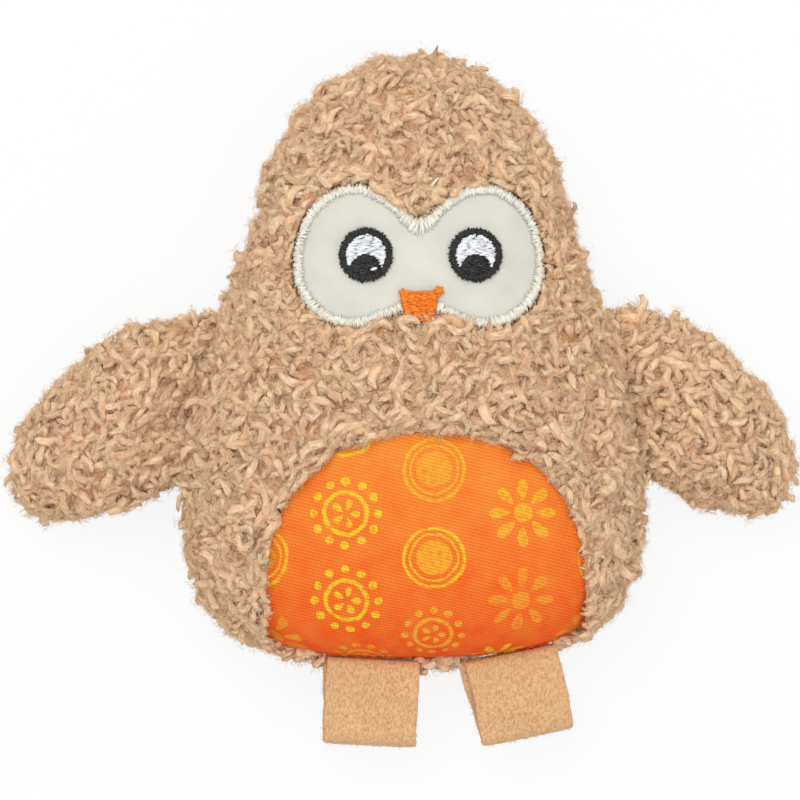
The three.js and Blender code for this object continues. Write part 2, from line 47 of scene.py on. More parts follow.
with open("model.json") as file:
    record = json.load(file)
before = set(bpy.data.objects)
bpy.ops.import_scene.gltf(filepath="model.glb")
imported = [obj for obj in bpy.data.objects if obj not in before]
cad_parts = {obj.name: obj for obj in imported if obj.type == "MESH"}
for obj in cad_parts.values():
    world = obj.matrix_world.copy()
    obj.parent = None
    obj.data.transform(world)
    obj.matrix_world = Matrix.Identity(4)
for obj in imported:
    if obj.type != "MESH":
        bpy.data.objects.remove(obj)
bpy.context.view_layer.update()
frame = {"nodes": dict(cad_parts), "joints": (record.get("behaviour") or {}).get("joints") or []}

MM = 0.001
TURN = 2 * math.pi
WHITE = (1, 1, 1, 1)
ORIGIN = Vector((0, 0, 0))

# The map that cloths and strands are coloured through: along a strand, or across a cloth's flat cut
MAP = "OFBake"
# A strand's tone is picked by the slot that it has across the map
STRAND_SLOTS = 24

# Body form, as the CAD model blows it up from its outline, in metres
BACK_LOW, BACK_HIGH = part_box("back_panel")
HALF_GAP = 0.15 * MM
SEAM_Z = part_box("front_panel")[0].z - HALF_GAP
MIDDLE_X = (BACK_LOW.x + BACK_HIGH.x) / 2
BOTTOM_Y = BACK_LOW.y
BODY_HEIGHT = BACK_HIGH.y - BACK_LOW.y
HIP_REACH = (BACK_HIGH.x - BACK_LOW.x) / 2
HIP_LEVEL = 22 * MM
HIP_ROUNDING = 0.74
SEAT_ROUNDING = 0.78
WAIST_REACH = 17 * MM
CHEEK_REACH = 20 * MM
CHEEK_LEVEL = 58 * MM
NECK_REACH = 5 * MM
NECK_FLARE = 0.6 * MM
CROWN_REACH = 9.6 * MM
CROWN_FLARE = 1.15 * MM
CROWN_ROUNDING = 0.6
BELLY_CROWN = 17 * MM
HEAD_CROWN = 15.2 * MM
BODY_MIDDLE = 35 * MM
FULLNESS = 2.4

# Belly patch
PATCH_REACH = 20.8 * MM
PATCH_TOP = 30.9 * MM
PATCH_WIDE = 10 * MM
PATCH_SHIFT = 1.8 * MM
PATCH_ROUNDING = 2.25
PATCH_SINK = 1.6 * MM
PATCH_CENTRE_LEVEL = 13 * MM
PATCH_FLAT = 64 * MM
PATCH_UNDER = (0.3 * MM, 0.8 * MM, 1.4 * MM)

# Face mask
MASK_X = MIDDLE_X + 0.8 * MM
MASK_Y = BOTTOM_Y + 53.5 * MM
MASK_SIDE = 15.9 * MM
MASK_SIDE_DROP = 1.2 * MM
LOBE_REACH = 8.4 * MM
LOBE_TOP = 8.7 * MM
LOBE_BOTTOM = 8.9 * MM
LOBE_ROUNDING = 0.56
NOTCH_LEVEL = 4.3 * MM
NOTCH_SOFTNESS = 1.9 * MM
NOTCH_SHOULDER = 4.4 * MM
DIP_LEVEL = 6.6 * MM
DIP_SOFTNESS = 3.8 * MM
DIP_SHOULDER = 3 * MM
MASK_DEPTH = 1.2 * MM
STITCH_DEPTH = 0.55 * MM
STITCH_DIP = 0.3 * MM
BORDER_SLANTS = (-0.25, 0.25)
BORDER_CROSSING = 0.12
BORDER_LENGTHS = (0.6, 1.2)
NOTCH_WIDTH = 1.6 * MM
LOOSE_THREAD = Vector((4.2, 28.2)) * MM

# Eyes and beak
EYE_SHIFT = 1 * MM
EYE_SPACING = 14.1 * MM
EYE_RADIUS = 3.45 * MM
EYE_RING = 0.92 * MM
PUPIL_RADIUS = 2.1 * MM
PUPIL_DROP = 2.05 * MM
BEAK_LEVEL = 46.9 * MM
BEAK_TOP = 2.25 * MM
BEAK_TIP = 1.4 * MM
BEAK_HALF = 1.9 * MM

# What each strand is drawn from: shares of the look's sizes, and bends in radians
CURL_LENGTHS = (0.7, 1.3)
CURL_WIDTHS = (0.8, 1.2)
CURL_BENDS = (2.0, 5.2)
CURL_SWAYS = (-1.1, 1.1)
CURL_ROOT = 0.4
CURL_TIPS = (-0.3, 0.35)
CURL_RIDGE = 0.45
CURL_BLUNT = 0.38
FIBRE_LENGTHS = (0.6, 1.3)
FIBRE_BENDS = (-0.15, 0.15)
STRAY_LENGTH = 1.9
STRAY_RISES = (-0.1, 1.1)

# How the pile lies: its mounds, the share of curls that cross the rest, and its clearance of cloths
MOUND_HEIGHT = 2.6
MOUND_WIDTH = 3.1 * MM
CROSSED_SHARE = 0.2
CROSSED_TILT = 2.2
WING_PROUD = 0.7 * MM
MASK_MARGIN = 0.75 * MM
PATCH_MARGIN = 0.3 * MM
BEAK_MARGIN = 1.5 * MM
BEAK_MARGIN_WIDTH = 3.6 * MM

# Ribbon feet: their tilt off the seam plane, their fold's radius, and how the nap stands
FOOT_TILT = math.radians(12)
FOLD_RADIUS = 1.2 * MM
NAP_SPACING = 0.42 * MM
NAP_LIE = Vector((1, 0, 0.25))

# Print, in millimetres: rings have a middle and a width, petals and beads a count, middle and half
FLOWER_PETALS = (8, 3.0, 1.35)
FLOWER_EYE = 1.2
DISC_RINGS = ((3.9, 0.42), (3.1, 0.28))
DISC_HEART = 2.3
OUTER_BEADS = (12, 4.1, 0.55)
BEADED_RING = (2.7, 0.55)
INNER_BEADS = (5, 1.2, 0.7)
RING_EDGE = 0.08
PETAL_EDGE = 0.15
HAND_WANDER = 0.7
# Where the print starts within its repeat, the lots up to which a cell holds a flower and a disc,
# how far its noise wears ink off, the faintest ink, and how much deeper its ground gets per mm down
PRINT_START = (0.42, 0.34)
FLOWER_LOT = 0.36
DISC_LOT = 0.68
WORN_FROM, WORN_TO = 0.24, 0.56
FAINTEST = 0.6
DEEPER_DOWN = -0.022

# Lamps: name, place, size and share of the lamp power
LAMPS = (
    ("key lamp", (-0.16, 0.26, 0.74), 0.5, 1.0),
    ("fill lamp", (0.3, -0.16, 0.7), 0.6, 0.45),
)

# Settings of a Mix node for colours, and for colours that shade one another
COLOURS = {"data_type": "RGBA"}
TIMES = {"data_type": "RGBA", "blend_type": "MULTIPLY"}

# Which of a plush panel's materials its ground and its fine fibres wear: curls wear the first
GROUND = 1
FIBRES = 2

# Copies are added to a mesh in batches of this many
BATCH = 50


def linear(code):
    """The linear colour of an sRGB hex code."""
    parts = [int(code[i:i + 2], 16) / 255 for i in (1, 3, 5)]
    return (*(v / 12.92 if v <= 0.04045 else ((v + 0.055) / 1.055) ** 2.4 for v in parts), 1.0)


def mix(a, b, share):
    return a + (b - a) * share


def towards(angle):
    return Vector((math.cos(angle), math.sin(angle)))


def smooth(low, high, value):
    share = min(1.0, max(0.0, (value - low) / (high - low)))
    return share * share * (3 - 2 * share)


class Outline:
    """A closed outline seen from a centre: how far it reaches in each direction."""

    def __init__(self, points, centre):
        self.centre = Vector(centre)
        offsets = [Vector(p) - self.centre for p in points]
        spokes = sorted((math.atan2(o.y, o.x) % TURN, o.length) for o in offsets)
        first = (spokes[0][0] + TURN, spokes[0][1])
        last = (spokes[-1][0] - TURN, spokes[-1][1])
        self.spokes = [last, *spokes, first]

    def reach(self, angle):
        angle %= TURN
        after = bisect.bisect(self.spokes, (angle, math.inf))
        after = min(after, len(self.spokes) - 1)
        (a0, r0), (a1, r1) = self.spokes[after - 1], self.spokes[after]
        return mix(r0, r1, (angle - a0) / max(1e-9, a1 - a0))

    def clearance(self, x, y):
        """How far a place lies outside the outline, less than zero inside it."""
        offset = Vector((x, y)) - self.centre
        return offset.length - self.reach(math.atan2(offset.y, offset.x))


def curve(*knots, steps=16):
    """Points along joined Bezier curves, each given by its knot, two handles and next knot."""
    points = []
    for start in range(0, len(knots) - 3, 3):
        corners = [Vector((*k, 0)) for k in knots[start:start + 4]]
        points += [(p.x, p.y) for p in interpolate_bezier(*corners, steps)[:-1]]
    return [*points, knots[-1]]


def both_halves(half, x, y):
    """A right-hand half outline and its mirror image, moved to a place on the body."""
    left = [(-px, py) for px, py in reversed(half[1:-1])]
    return [(px + x, py + y) for px, py in [*half, *left]]


def body_points():
    half = curve(
        (0, 0),
        (HIP_REACH * SEAT_ROUNDING, 0),
        (HIP_REACH, HIP_LEVEL * (1 - HIP_ROUNDING)),
        (HIP_REACH, HIP_LEVEL),
        (HIP_REACH, HIP_LEVEL + WAIST_REACH),
        (CHEEK_REACH + NECK_FLARE, CHEEK_LEVEL - NECK_REACH),
        (CHEEK_REACH, CHEEK_LEVEL),
        (CHEEK_REACH - CROWN_FLARE, CHEEK_LEVEL + CROWN_REACH),
        (CHEEK_REACH * CROWN_ROUNDING, BODY_HEIGHT),
        (0, BODY_HEIGHT),
    )
    return both_halves(half, MIDDLE_X, BOTTOM_Y)


def mask_points():
    side = -MASK_SIDE_DROP
    shoulder = mix(LOBE_REACH, MASK_SIDE, LOBE_ROUNDING)
    half = curve(
        (0, -DIP_LEVEL),
        (DIP_SOFTNESS, -DIP_LEVEL),
        (LOBE_REACH - DIP_SHOULDER, -LOBE_BOTTOM),
        (LOBE_REACH, -LOBE_BOTTOM),
        (shoulder, -LOBE_BOTTOM),
        (MASK_SIDE, mix(side, -LOBE_BOTTOM, LOBE_ROUNDING)),
        (MASK_SIDE, side),
        (MASK_SIDE, mix(side, LOBE_TOP, LOBE_ROUNDING)),
        (shoulder, LOBE_TOP),
        (LOBE_REACH, LOBE_TOP),
        (LOBE_REACH - NOTCH_SHOULDER, LOBE_TOP),
        (NOTCH_SOFTNESS, NOTCH_LEVEL),
        (0, NOTCH_LEVEL),
    )
    return both_halves(half, MASK_X, MASK_Y)


def patch_points():
    """The arch of the belly patch, closed along the body's bottom seam."""
    centre = Vector((MIDDLE_X + PATCH_SHIFT, BOTTOM_Y + PATCH_CENTRE_LEVEL))
    seam = Outline(body_points(), centre)
    points = []
    for step in range(360):
        angle = TURN * step / 360
        along = towards(angle)
        low, high = 0.0, 2 * PATCH_REACH
        for _ in range(30):
            half = (low + high) / 2
            x = abs(along.x * half) / PATCH_REACH
            y = max(0, along.y * half + PATCH_CENTRE_LEVEL - PATCH_WIDE) / (PATCH_TOP - PATCH_WIDE)
            inside = x ** PATCH_ROUNDING + y ** PATCH_ROUNDING < 1
            low, high = (half, high) if inside else (low, half)
        points.append(centre + along * min(low, seam.reach(angle) - PATCH_SINK))
    return points, centre


BODY = Outline(body_points(), (MIDDLE_X, BOTTOM_Y + BODY_MIDDLE))
MASK = Outline(mask_points(), (MASK_X, MASK_Y - 1 * MM))
PATCH = Outline(*patch_points())


def skin(x, y, depth=0.0):
    """How high the front of the body stands at a place, at a depth below the tips of its pile."""
    offset = Vector((x, y)) - BODY.centre
    rim = BODY.reach(math.atan2(offset.y, offset.x)) - depth
    share = min(1.0, offset.length / rim)
    crown = mix(BELLY_CROWN, HEAD_CROWN, smooth(HIP_LEVEL, CHEEK_LEVEL, y - BOTTOM_Y))
    rise = (1 - share ** FULLNESS) ** (1 / FULLNESS)
    return SEAM_Z + HALF_GAP + (crown - HALF_GAP - depth) * rise


def lean(x, y, depth):
    """The direction that the front of the body faces at a place."""
    step = 0.3 * MM
    slope_x = (skin(x + step, y, depth) - skin(x - step, y, depth)) / (2 * step)
    slope_y = (skin(x, y + step, depth) - skin(x, y - step, depth)) / (2 * step)
    return Vector((-slope_x, -slope_y, 1)).normalized()


def facing(place, normal, along):
    """A matrix whose z is the normal and whose x lies as near to a direction as it can."""
    up = normal.normalized()
    across = up.cross(along).normalized()
    return Matrix.Translation(place) @ Matrix((across.cross(up), across, up)).transposed().to_4x4()


def add_node(tree, kind, *inputs, **settings):
    """Adds a node, its kind followed by its operation if it has one. Inputs go to its open sockets
    in order, or by name among the settings, and a node given as one stands for its first output."""
    kind, *operation = kind.split()
    node = tree.nodes.new(f"ShaderNode{kind}")
    if operation:
        node.operation = operation[0]
    stops = settings.pop("stops", ())
    named = {name: settings.pop(name) for name in list(settings) if name in node.inputs}
    for name, value in settings.items():
        setattr(node, name, value)
    if stops:
        elements = node.color_ramp.elements
        while len(elements) < len(stops):
            elements.new(0.5)
        for element, (position, colour) in zip(elements, stops):
            element.position = position
            element.color = colour
    sockets = [socket for socket in node.inputs if socket.enabled]
    chosen = [(node.inputs[name], value) for name, value in named.items()]
    for socket, value in [*zip(sockets, inputs), *chosen]:
        if isinstance(value, bpy.types.Node):
            value = first_output(value)
        if isinstance(value, bpy.types.NodeSocket):
            tree.links.new(value, socket)
        else:
            socket.default_value = value
    return node


def first_output(node):
    return next(socket for socket in node.outputs if socket.enabled)


class Finish:
    """A material with a bare Principled shader, whose plain values sit on its own sockets."""

    def __init__(self, name, roughness, sheen, specular=0.2):
        self.material = bpy.data.materials.new(name)
        self.material.use_nodes = True
        self.tree = self.material.node_tree
        self.inputs = self.tree.nodes["Principled BSDF"].inputs
        self.inputs["Roughness"].default_value = roughness
        self.inputs["Sheen Weight"].default_value = sheen
        self.inputs["Sheen Roughness"].default_value = 0.5
        self.inputs["Specular IOR Level"].default_value = specular

    def add(self, kind, *inputs, **settings):
        return add_node(self.tree, kind, *inputs, **settings)

    def done(self, colour, height, depth):
        """Links a colour, and a height from 0 to 1 that stands for a real depth."""
        bump = self.add("Bump", Height=height, Distance=depth)
        self.tree.links.new(first_output(colour), self.inputs["Base Color"])
        self.tree.links.new(first_output(bump), self.inputs["Normal"])
        return self.material


def shared(name, make, look):
    """The material of a name, made from a look once for all the pieces that wear it."""
    return bpy.data.materials.get(name) or make(name, look)


def darker(colour, share):
    return (*(value * share for value in colour[:3]), 1)


def strand_finish(name, tones, roughness, sheen, root, streaks, contrast, depth, crimps=3.0):
    """Strands, each of its own tone and darker at its root, which is painted shade, with so many
    streaks across it and crimps along it."""
    finish = Finish(name, roughness, sheen)
    add = finish.add
    spot = add("UVMap", uv_map=MAP)
    along, across = add("SeparateXYZ", spot).outputs[:2]
    strand = add("Math FLOOR", add("Math MULTIPLY", across, STRAND_SLOTS))
    tone = add("ValToRGB", add("TexWhiteNoise", strand, noise_dimensions="1D"), stops=tones)
    lines = add("Mapping", spot, Scale=(crimps, STRAND_SLOTS * streaks, 1.0))
    fibre = add("TexNoise", lines, Scale=1.0, Detail=2.0)
    streak = add("MapRange", fibre, 0.0, 1.0, 1 - contrast, 1 + contrast)
    # Painted shade: the root colour darkens each strand towards its root end
    shadow = add("ValToRGB", along, stops=[(0.0, root), (0.4, WHITE), (1.0, WHITE)])
    colour = add("Mix", 1.0, add("Mix", 1.0, tone, shadow, **TIMES), streak, **TIMES)
    finish.inputs["Sheen Tint"].default_value = tones[-1][1]
    return finish.done(colour, fibre, depth)


def pile_finish(name, look):
    """Curly teddy pile of crimped polyester: matt, each curl a slightly different tone."""
    tones = [(0.0, look.pile_shade), (0.35, look.pile), (0.75, look.pile), (1.0, look.pile_light)]
    # Painted shade: a brown tint on the curls' roots, for the shade in the gaps between curls
    root = (0.88, 0.76, 0.64, 1)
    return strand_finish(name, tones, 0.95, 0.5, root, 7, 0.2, 0.7 * MM, crimps=7.5)


def fuzz_finish(name, look):
    """Single fibres that stand off the curls: very matt, and paler than the mass of the pile, a
    painted light for the light that such thin fibres let through.
    """
    tones = [(0.0, look.pile_light), (0.5, look.fuzz), (1.0, look.fuzz)]
    return strand_finish(name, tones, 1.0, 0.9, WHITE, 1, 0.03, 0)


def nap_finish(name, look):
    """Short soft fibres of a velour's nap: painted shade darkens some of them, as if shaded by the
    rest, and darkens their roots.
    """
    tones = [(0.0, look.nap_shade), (0.4, look.colour), (1.0, look.colour)]
    return strand_finish(name, tones, 0.95, 0.1, (0.9, 0.88, 0.85, 1), 2, 0.05, 0)


def thread_finish(name, colour):
    """Polyester embroidery thread: twisted filaments that catch a soft line of light."""
    light = tuple(min(1.0, value * 1.12 + 0.01) for value in colour[:3]) + (1,)
    tones = [(0.0, darker(colour, 0.86)), (0.5, colour), (1.0, light)]
    # Painted shade: each stitch a little darker at its root end, where it dives into the cloth
    return strand_finish(name, tones, 0.42, 0.15, (0.9, 0.9, 0.9, 1), 6, 0.1, 0.1 * MM)


def fibrous_finish(
    name, colour, scale, depth, stretch=(1, 1, 1), roughness=0.9, dark=0.82, pale_at=0.6, detail=4.0,
):
    """Matted, knitted or bonded fibres: matt, with short crossing lines of two tones, so many to
    the metre."""
    finish = Finish(name, roughness, 0.1)
    place = finish.add("Mapping", finish.add("TexCoord").outputs["Object"], Scale=stretch)
    fibre = finish.add("TexNoise", place, Scale=scale, Detail=detail)
    tone = finish.add("ValToRGB", fibre, stops=[(0.3, darker(colour, dark)), (pale_at, colour)])
    return finish.done(tone, fibre, depth)


def ground_finish(name, look):
    """Knitted ground of the plush, seen only between curls: a tan a little deeper than the pile,
    which is painted shade in the gaps.
    """
    return fibrous_finish(
        name, look.ground, 1400.0, 0.3 * MM, roughness=0.95, dark=0.85, pale_at=0.7, detail=2.0,
    )


def velour_finish(name, look, along_scale, depth):
    """Short-pile velour: soft and matt, with a fine grain of pile lying over, whose darker tone is
    painted shade between the fibres. Its fibres are a quarter of a millimetre apart and its patches
    four, which makes 4200 and 260 to the metre."""
    finish = Finish(name, 0.9, 0.25)
    place = finish.add("TexCoord").outputs["Object"]
    grain = finish.add("Mapping", place, Scale=(1.0, along_scale, 1.0))
    pile = finish.add("TexNoise", grain, Scale=4200.0, Detail=3.0)
    patches = finish.add("TexNoise", place, Scale=260.0, Detail=3.0)
    # Painted shade: the grain runs from the shade between the fibres to the velour's colour
    tone = finish.add("ValToRGB", pile, stops=[(0.25, look.nap_shade), (0.6, look.colour)])
    patchy = finish.add("MapRange", patches, 0.0, 1.0, 0.88, 1.12)
    return finish.done(finish.add("Mix", 1.0, tone, patchy, **TIMES), pile, depth)


def printed_ring(add, far, middle, width):
    """Ink within half a width of a middle distance, with a soft edge."""
    off = add("Math ABSOLUTE", add("Math SUBTRACT", far, middle))
    return add("MapRange", off, width / 2 - RING_EDGE, width / 2 + RING_EDGE, 1.0, 0.0)


def printed_disc(add, far, radius, edge):
    return add("MapRange", add("Math SUBTRACT", radius, far), -edge, edge)


def printed_petals(add, far, turn, count, middle, half):
    """A ring of petals or beads at a middle distance, which close half as far off."""
    wave = add("Math COSINE", add("Math MULTIPLY", turn, float(count)))
    off = add("Math DIVIDE", add("Math SUBTRACT", far, middle), half)
    bend = add("Math ADD", add("Math MULTIPLY", add("Math POWER", off, 2.0), 1.1), -0.1)
    return add("MapRange", add("Math SUBTRACT", wave, bend), -PETAL_EDGE, PETAL_EDGE)


def printed_motifs(add, x, y, repeat):
    """The ink of flowers, ringed discs and beaded rings in a half-drop repeat, and each one's lot."""
    column = add("Math DIVIDE", add("Math ADD", x, repeat * PRINT_START[0]), repeat)
    column_at = add("Math FLOOR", column)
    drop = add("Math MULTIPLY", add("Math PINGPONG", column_at, 1.0), 0.5)
    row = add("Math ADD", add("Math DIVIDE", y, repeat), drop)
    row = add("Math ADD", row, PRINT_START[1])
    x, y = (
        add("Math MULTIPLY", add("Math SUBTRACT", add("Math FRACT", cell), 0.5), repeat)
        for cell in (column, row)
    )
    far = add("Math SQRT", add("Math ADD", add("Math POWER", x, 2.0), add("Math POWER", y, 2.0)))
    turn = add("Math ARCTAN2", y, x)
    lot = add("TexWhiteNoise", add("CombineXYZ", column_at, add("Math FLOOR", row), 3.0))

    petals = printed_petals(add, far, turn, *FLOWER_PETALS)
    flower = add("Math MAXIMUM", petals, printed_disc(add, far, FLOWER_EYE, 0.1))
    rings = add("Math MAXIMUM", *(printed_ring(add, far, *ring) for ring in DISC_RINGS))
    heart = add("Math MULTIPLY", printed_disc(add, far, DISC_HEART, 0.12), 0.6)
    disc = add("Math MAXIMUM", rings, heart)
    outer = printed_petals(add, far, turn, *OUTER_BEADS)
    beads = add("Math MAXIMUM", outer, printed_ring(add, far, *BEADED_RING))
    beads = add("Math MAXIMUM", beads, printed_petals(add, far, turn, *INNER_BEADS))
    ink = flower
    for last, motif in ((FLOWER_LOT, disc), (DISC_LOT, beads)):
        ink = add("Mix", add("MapRange", lot, last - 0.001, last + 0.001), ink, motif)
    return ink, lot


def cotton_finish(name, look):
    """Printed plain-weave cotton: a fine matt weave, its print slightly uneven like hand blocks."""
    finish = Finish(name, 0.9, 0.0, specular=0.1)
    add = finish.add
    centred = add("VectorMath SUBTRACT", add("UVMap", uv_map=MAP), (0.5, 0.5, 0))
    place = add("VectorMath SCALE", centred, Scale=PATCH_FLAT / MM)
    wander = add("TexNoise", place, Scale=0.5, Detail=3.0).outputs["Color"]
    hand = add("VectorMath SUBTRACT", wander, (0.5, 0.5, 0.5))
    hand = add("VectorMath SCALE", hand, Scale=HAND_WANDER)
    across, up = add("SeparateXYZ", add("VectorMath ADD", place, hand)).outputs[:2]
    ink, lot = printed_motifs(add, across, up, look.motif_spacing / MM)
    chance = add("Math FRACT", add("Math MULTIPLY", lot, 7.3))
    lighter = add("Mix", chance, look.amber, look.yellow, **COLOURS)

    streaks = add("Math MULTIPLY", add("TexNoise", place, Scale=0.3, Detail=4.0), 0.9)
    deep = add("Clamp", add("Math ADD", streaks, add("Math MULTIPLY", up, DEEPER_DOWN)))
    ground = add("Mix", deep, look.ground, look.ground_deep, **COLOURS)
    worn = add("MapRange", add("TexNoise", place, Scale=1.5, Detail=3.0), WORN_FROM, WORN_TO)
    strength = add("MapRange", chance, 0.0, 1.0, FAINTEST, 1.0)
    taken = add("Math MULTIPLY", add("Math MULTIPLY", ink, worn), strength)
    colour = add("Mix", taken, ground, lighter, **COLOURS)

    # A wave texture of scale 1 has its bands a twentieth of a turn apart
    skewed = add("Mapping", place, Rotation=(0, 0, look.weave_slant))
    wave = (skewed, TURN / (20 * look.weave_pitch / MM), 0.9, 2.0, 2.0)
    weft, warp = (add("TexWave", *wave, bands_direction=way).outputs["Fac"] for way in "YX")
    weave = add("Math ADD", add("Math MULTIPLY", weft, 0.72), add("Math MULTIPLY", warp, 0.28))
    colour = add("Mix", 1.0, colour, add("MapRange", weave, 0.0, 1.0, 0.78, 1.08), **TIMES)
    return finish.done(colour, weave, 0.08 * MM)


def solid_copy(node):
    """A copy of a CAD solid, its loose triangles merged."""
    bm = bmesh.new()
    bm.from_mesh(frame["nodes"][node].data)
    bmesh.ops.remove_doubles(bm, verts=bm.verts, dist=0.0005 * MM)
    return bm


def wrapped_grid(around, along, place, slot=None):
    """A grid bent to a shape: place turns (around, along), each 0 to 1, into a point.
    Its map holds along and the strand's slot, or along and around as they are."""
    bm = bmesh.new()
    bmesh.ops.create_grid(bm, x_segments=around, y_segments=along, size=0.5)
    layer = bm.loops.layers.uv.new(MAP)
    for face in bm.faces:
        for loop in face.loops:
            u, v = loop.vert.co.x + 0.5, loop.vert.co.y + 0.5
            if slot is not None:
                u = (slot + 0.06 + 0.88 * u) / STRAND_SLOTS
            loop[layer].uv = (v, u)
    for vert in bm.verts:
        vert.co = place(vert.co.x + 0.5, vert.co.y + 0.5)
    bmesh.ops.remove_doubles(bm, verts=bm.verts, dist=0.001 * MM)
    bmesh.ops.recalc_face_normals(bm, faces=bm.faces)
    return bm


def as_mesh(bm, name="part", material=None):
    if material is not None:
        for face in bm.faces:
            face.material_index = material
    mesh = bpy.data.meshes.new(name)
    bm.to_mesh(mesh)
    bm.free()
    return mesh


def put_in(whole, bm, material=None):
    held = as_mesh(bm, material=material)
    whole.from_mesh(held)
    bpy.data.meshes.remove(held)


def scatter(whole, shapes, places):
    """Adds a copy of one of the shapes at each place, and removes the shapes themselves."""
    for start in range(0, len(places), BATCH):
        part = bmesh.new()
        for which, matrix in places[start:start + BATCH]:
            first = len(part.verts)
            part.from_mesh(shapes[which])
            part.verts.ensure_lookup_table()
            bmesh.ops.transform(part, matrix=matrix, verts=part.verts[first:])
        put_in(whole, part)
    for shape in shapes:
        bpy.data.meshes.remove(shape)


def piece(name, bm, materials, body, slot, *nodes):
    """A smooth-shaded piece that rides on a body and stands for the CAD nodes that are given."""
    mesh = as_mesh(bm, name)
    for material in materials:
        mesh.materials.append(material)
    mesh.shade_smooth()
    obj = bpy.data.objects.new(name, mesh)
    bpy.context.scene.collection.objects.link(obj)
    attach(obj, body)
    if nodes:
        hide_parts(*nodes)
    return obj


def tube(path, width, thickness, around, along, slot, ridge=0.0, seed=0.0, blunt=0.5):
    """A strand along a path, which gives a point and a heading, closed at both ends."""
    up = Vector((0, 0, 1))

    def place(u, t):
        t = 0.5 - 0.5 * math.cos(math.pi * t)
        point, heading = path(t)
        side = up.cross(heading).normalized()
        top = heading.cross(side)
        turn = TURN * u
        full = math.sin(math.pi * t) ** blunt if 0.001 < t < 0.999 else 0.0
        grain = Vector((1.3 * math.cos(turn) + seed, 1.3 * math.sin(turn), 4 * t))
        full *= 1 + ridge * noise.noise(grain)
        return point + full * (side * math.cos(turn) * width + top * math.sin(turn) * thickness)

    return wrapped_grid(around, along, place, slot)


def curled(length, bend, sway, root, tip):
    """A curl's middle line: it rises from its root, winds in a plane and dips again at its tip."""
    steps = 24

    def heading(t):
        return bend * (t - 0.5) + sway * math.sin(TURN * t)

    spots = [ORIGIN]
    for step in range(steps):
        ahead = heading((step + 0.5) / steps)
        spots.append(spots[-1] + Vector((math.cos(ahead), math.sin(ahead), 0)) * length / steps)
    middle = sum(spots, ORIGIN) / len(spots)

    def path(t):
        at = min(steps - 1, int(t * steps))
        spot = spots[at].lerp(spots[at + 1], t * steps - at) - middle
        spot.z = -(root if t < 0.5 else tip) * abs(2 * t - 1) ** 3
        return spot, Vector((math.cos(heading(t)), math.sin(heading(t)), 0))

    return path


def curl_shape(rng, slot, look, fibres):
    """A curl of pile: a plump, blunt lock of crimped fibres, with fine ones that stand off it."""
    length = look.curl_length * rng.uniform(*CURL_LENGTHS)
    width = look.curl_width / 2 * rng.uniform(*CURL_WIDTHS)
    bend = rng.choice((-1, 1)) * rng.uniform(*CURL_BENDS)
    root = look.curl_length * CURL_ROOT
    middle = curled(length, bend, rng.uniform(*CURL_SWAYS), root, rng.uniform(*CURL_TIPS) * root)
    grain = rng.uniform(0, 50)
    whole = bmesh.new()
    put_in(whole, tube(middle, width, width * 0.9, 5, 7, slot, CURL_RIDGE, grain, CURL_BLUNT))
    radius = look.fibre_width / 2
    for _ in range(fibres):
        spot, heading = middle(rng.uniform(0.15, 1))
        angle = rng.uniform(-0.3, math.pi + 0.3)
        out = Vector((-heading.y * math.cos(angle), heading.x * math.cos(angle), math.sin(angle)))
        way = heading * rng.choice((-1, 1)) + out * rng.uniform(0.0, 0.9)
        start = spot + out * width * 1.05
        put_in(whole, fibre_shape(rng, slot, start, way, look.fibre_length, radius), FIBRES)
    return as_mesh(whole)


def fibre_shape(rng, slot, start, way, length, radius):
    """A single fine fibre, thickest at its middle, where it is bent a little."""
    length *= rng.uniform(*FIBRE_LENGTHS)
    way = way.normalized()
    aside = way.orthogonal() * rng.uniform(*FIBRE_BENDS) * length

    def path(t):
        return start + way * (length * (t - 0.3)) + aside * math.sin(math.pi * t), way

    return tube(path, radius, radius, 3, 2, slot)


def loose_fibre(rng, slot, look):
    """A fibre that has worked loose from the pile."""
    rise = Vector((1, 0, rng.uniform(*STRAY_RISES)))
    length, radius = look.fibre_length * STRAY_LENGTH, look.fibre_width / 2
    return as_mesh(fibre_shape(rng, slot, ORIGIN, rise, length, radius), material=FIBRES)


def outer_faces(bm, everything):
    """Faces of a cloth panel with nothing of the toy just in front of them."""
    found = []
    for face in bm.faces:
        start = face.calc_center_median() + face.normal * 0.05 * MM
        if everything.ray_cast(start, face.normal, 5 * MM)[0] is None:
            found.append(face)
    return found


def all_nodes(feet=True):
    """Every CAD solid, with or without the feet, for rays to be cast at."""
    verts, polygons = [], []
    for name, node in frame["nodes"].items():
        if name.endswith("foot_loop") and not feet:
            continue
        first = len(verts)
        verts += [v.co.copy() for v in node.data.vertices]
        polygons += [[first + i for i in p.vertices] for p in node.data.polygons]
    return BVHTree.FromPolygons(verts, polygons)


def outward(faces):
    """The mean direction of the given faces at each of their corners."""
    normals = {}
    for face in faces:
        for vert in face.verts:
            share = face.normal * face.calc_area()
            normals[vert] = normals.get(vert, Vector()) + share
    return {vert: normal.normalized() for vert, normal in normals.items()}


def spots_on(faces, normals, spacing, rng):
    """Places spread over the faces, none nearer to another than the spacing, with their normals."""
    if not faces:
        return []
    corners = [[(v.co.copy(), normals[v]) for v in face.verts] for face in faces]
    areas = [face.calc_area() for face in faces]
    tries = int(6 * sum(areas) / spacing ** 2)
    taken, found = {}, []
    for (a, na), (b, nb), (c, nc) in rng.choices(corners, areas, k=tries):
        u, v = rng.random(), rng.random()
        if u + v > 1:
            u, v = 1 - u, 1 - v
        spot = a + (b - a) * u + (c - a) * v
        key = tuple(int(math.floor(x / spacing)) for x in spot)
        near = (
            taken.get((key[0] + i, key[1] + j, key[2] + k))
            for i in (-1, 0, 1) for j in (-1, 0, 1) for k in (-1, 0, 1)
        )
        if any(other is not None and (other - spot).length < spacing for other in near):
            continue
        taken[key] = spot
        found.append((spot, (na * (1 - u - v) + nb * u + nc * v).normalized()))
    return found


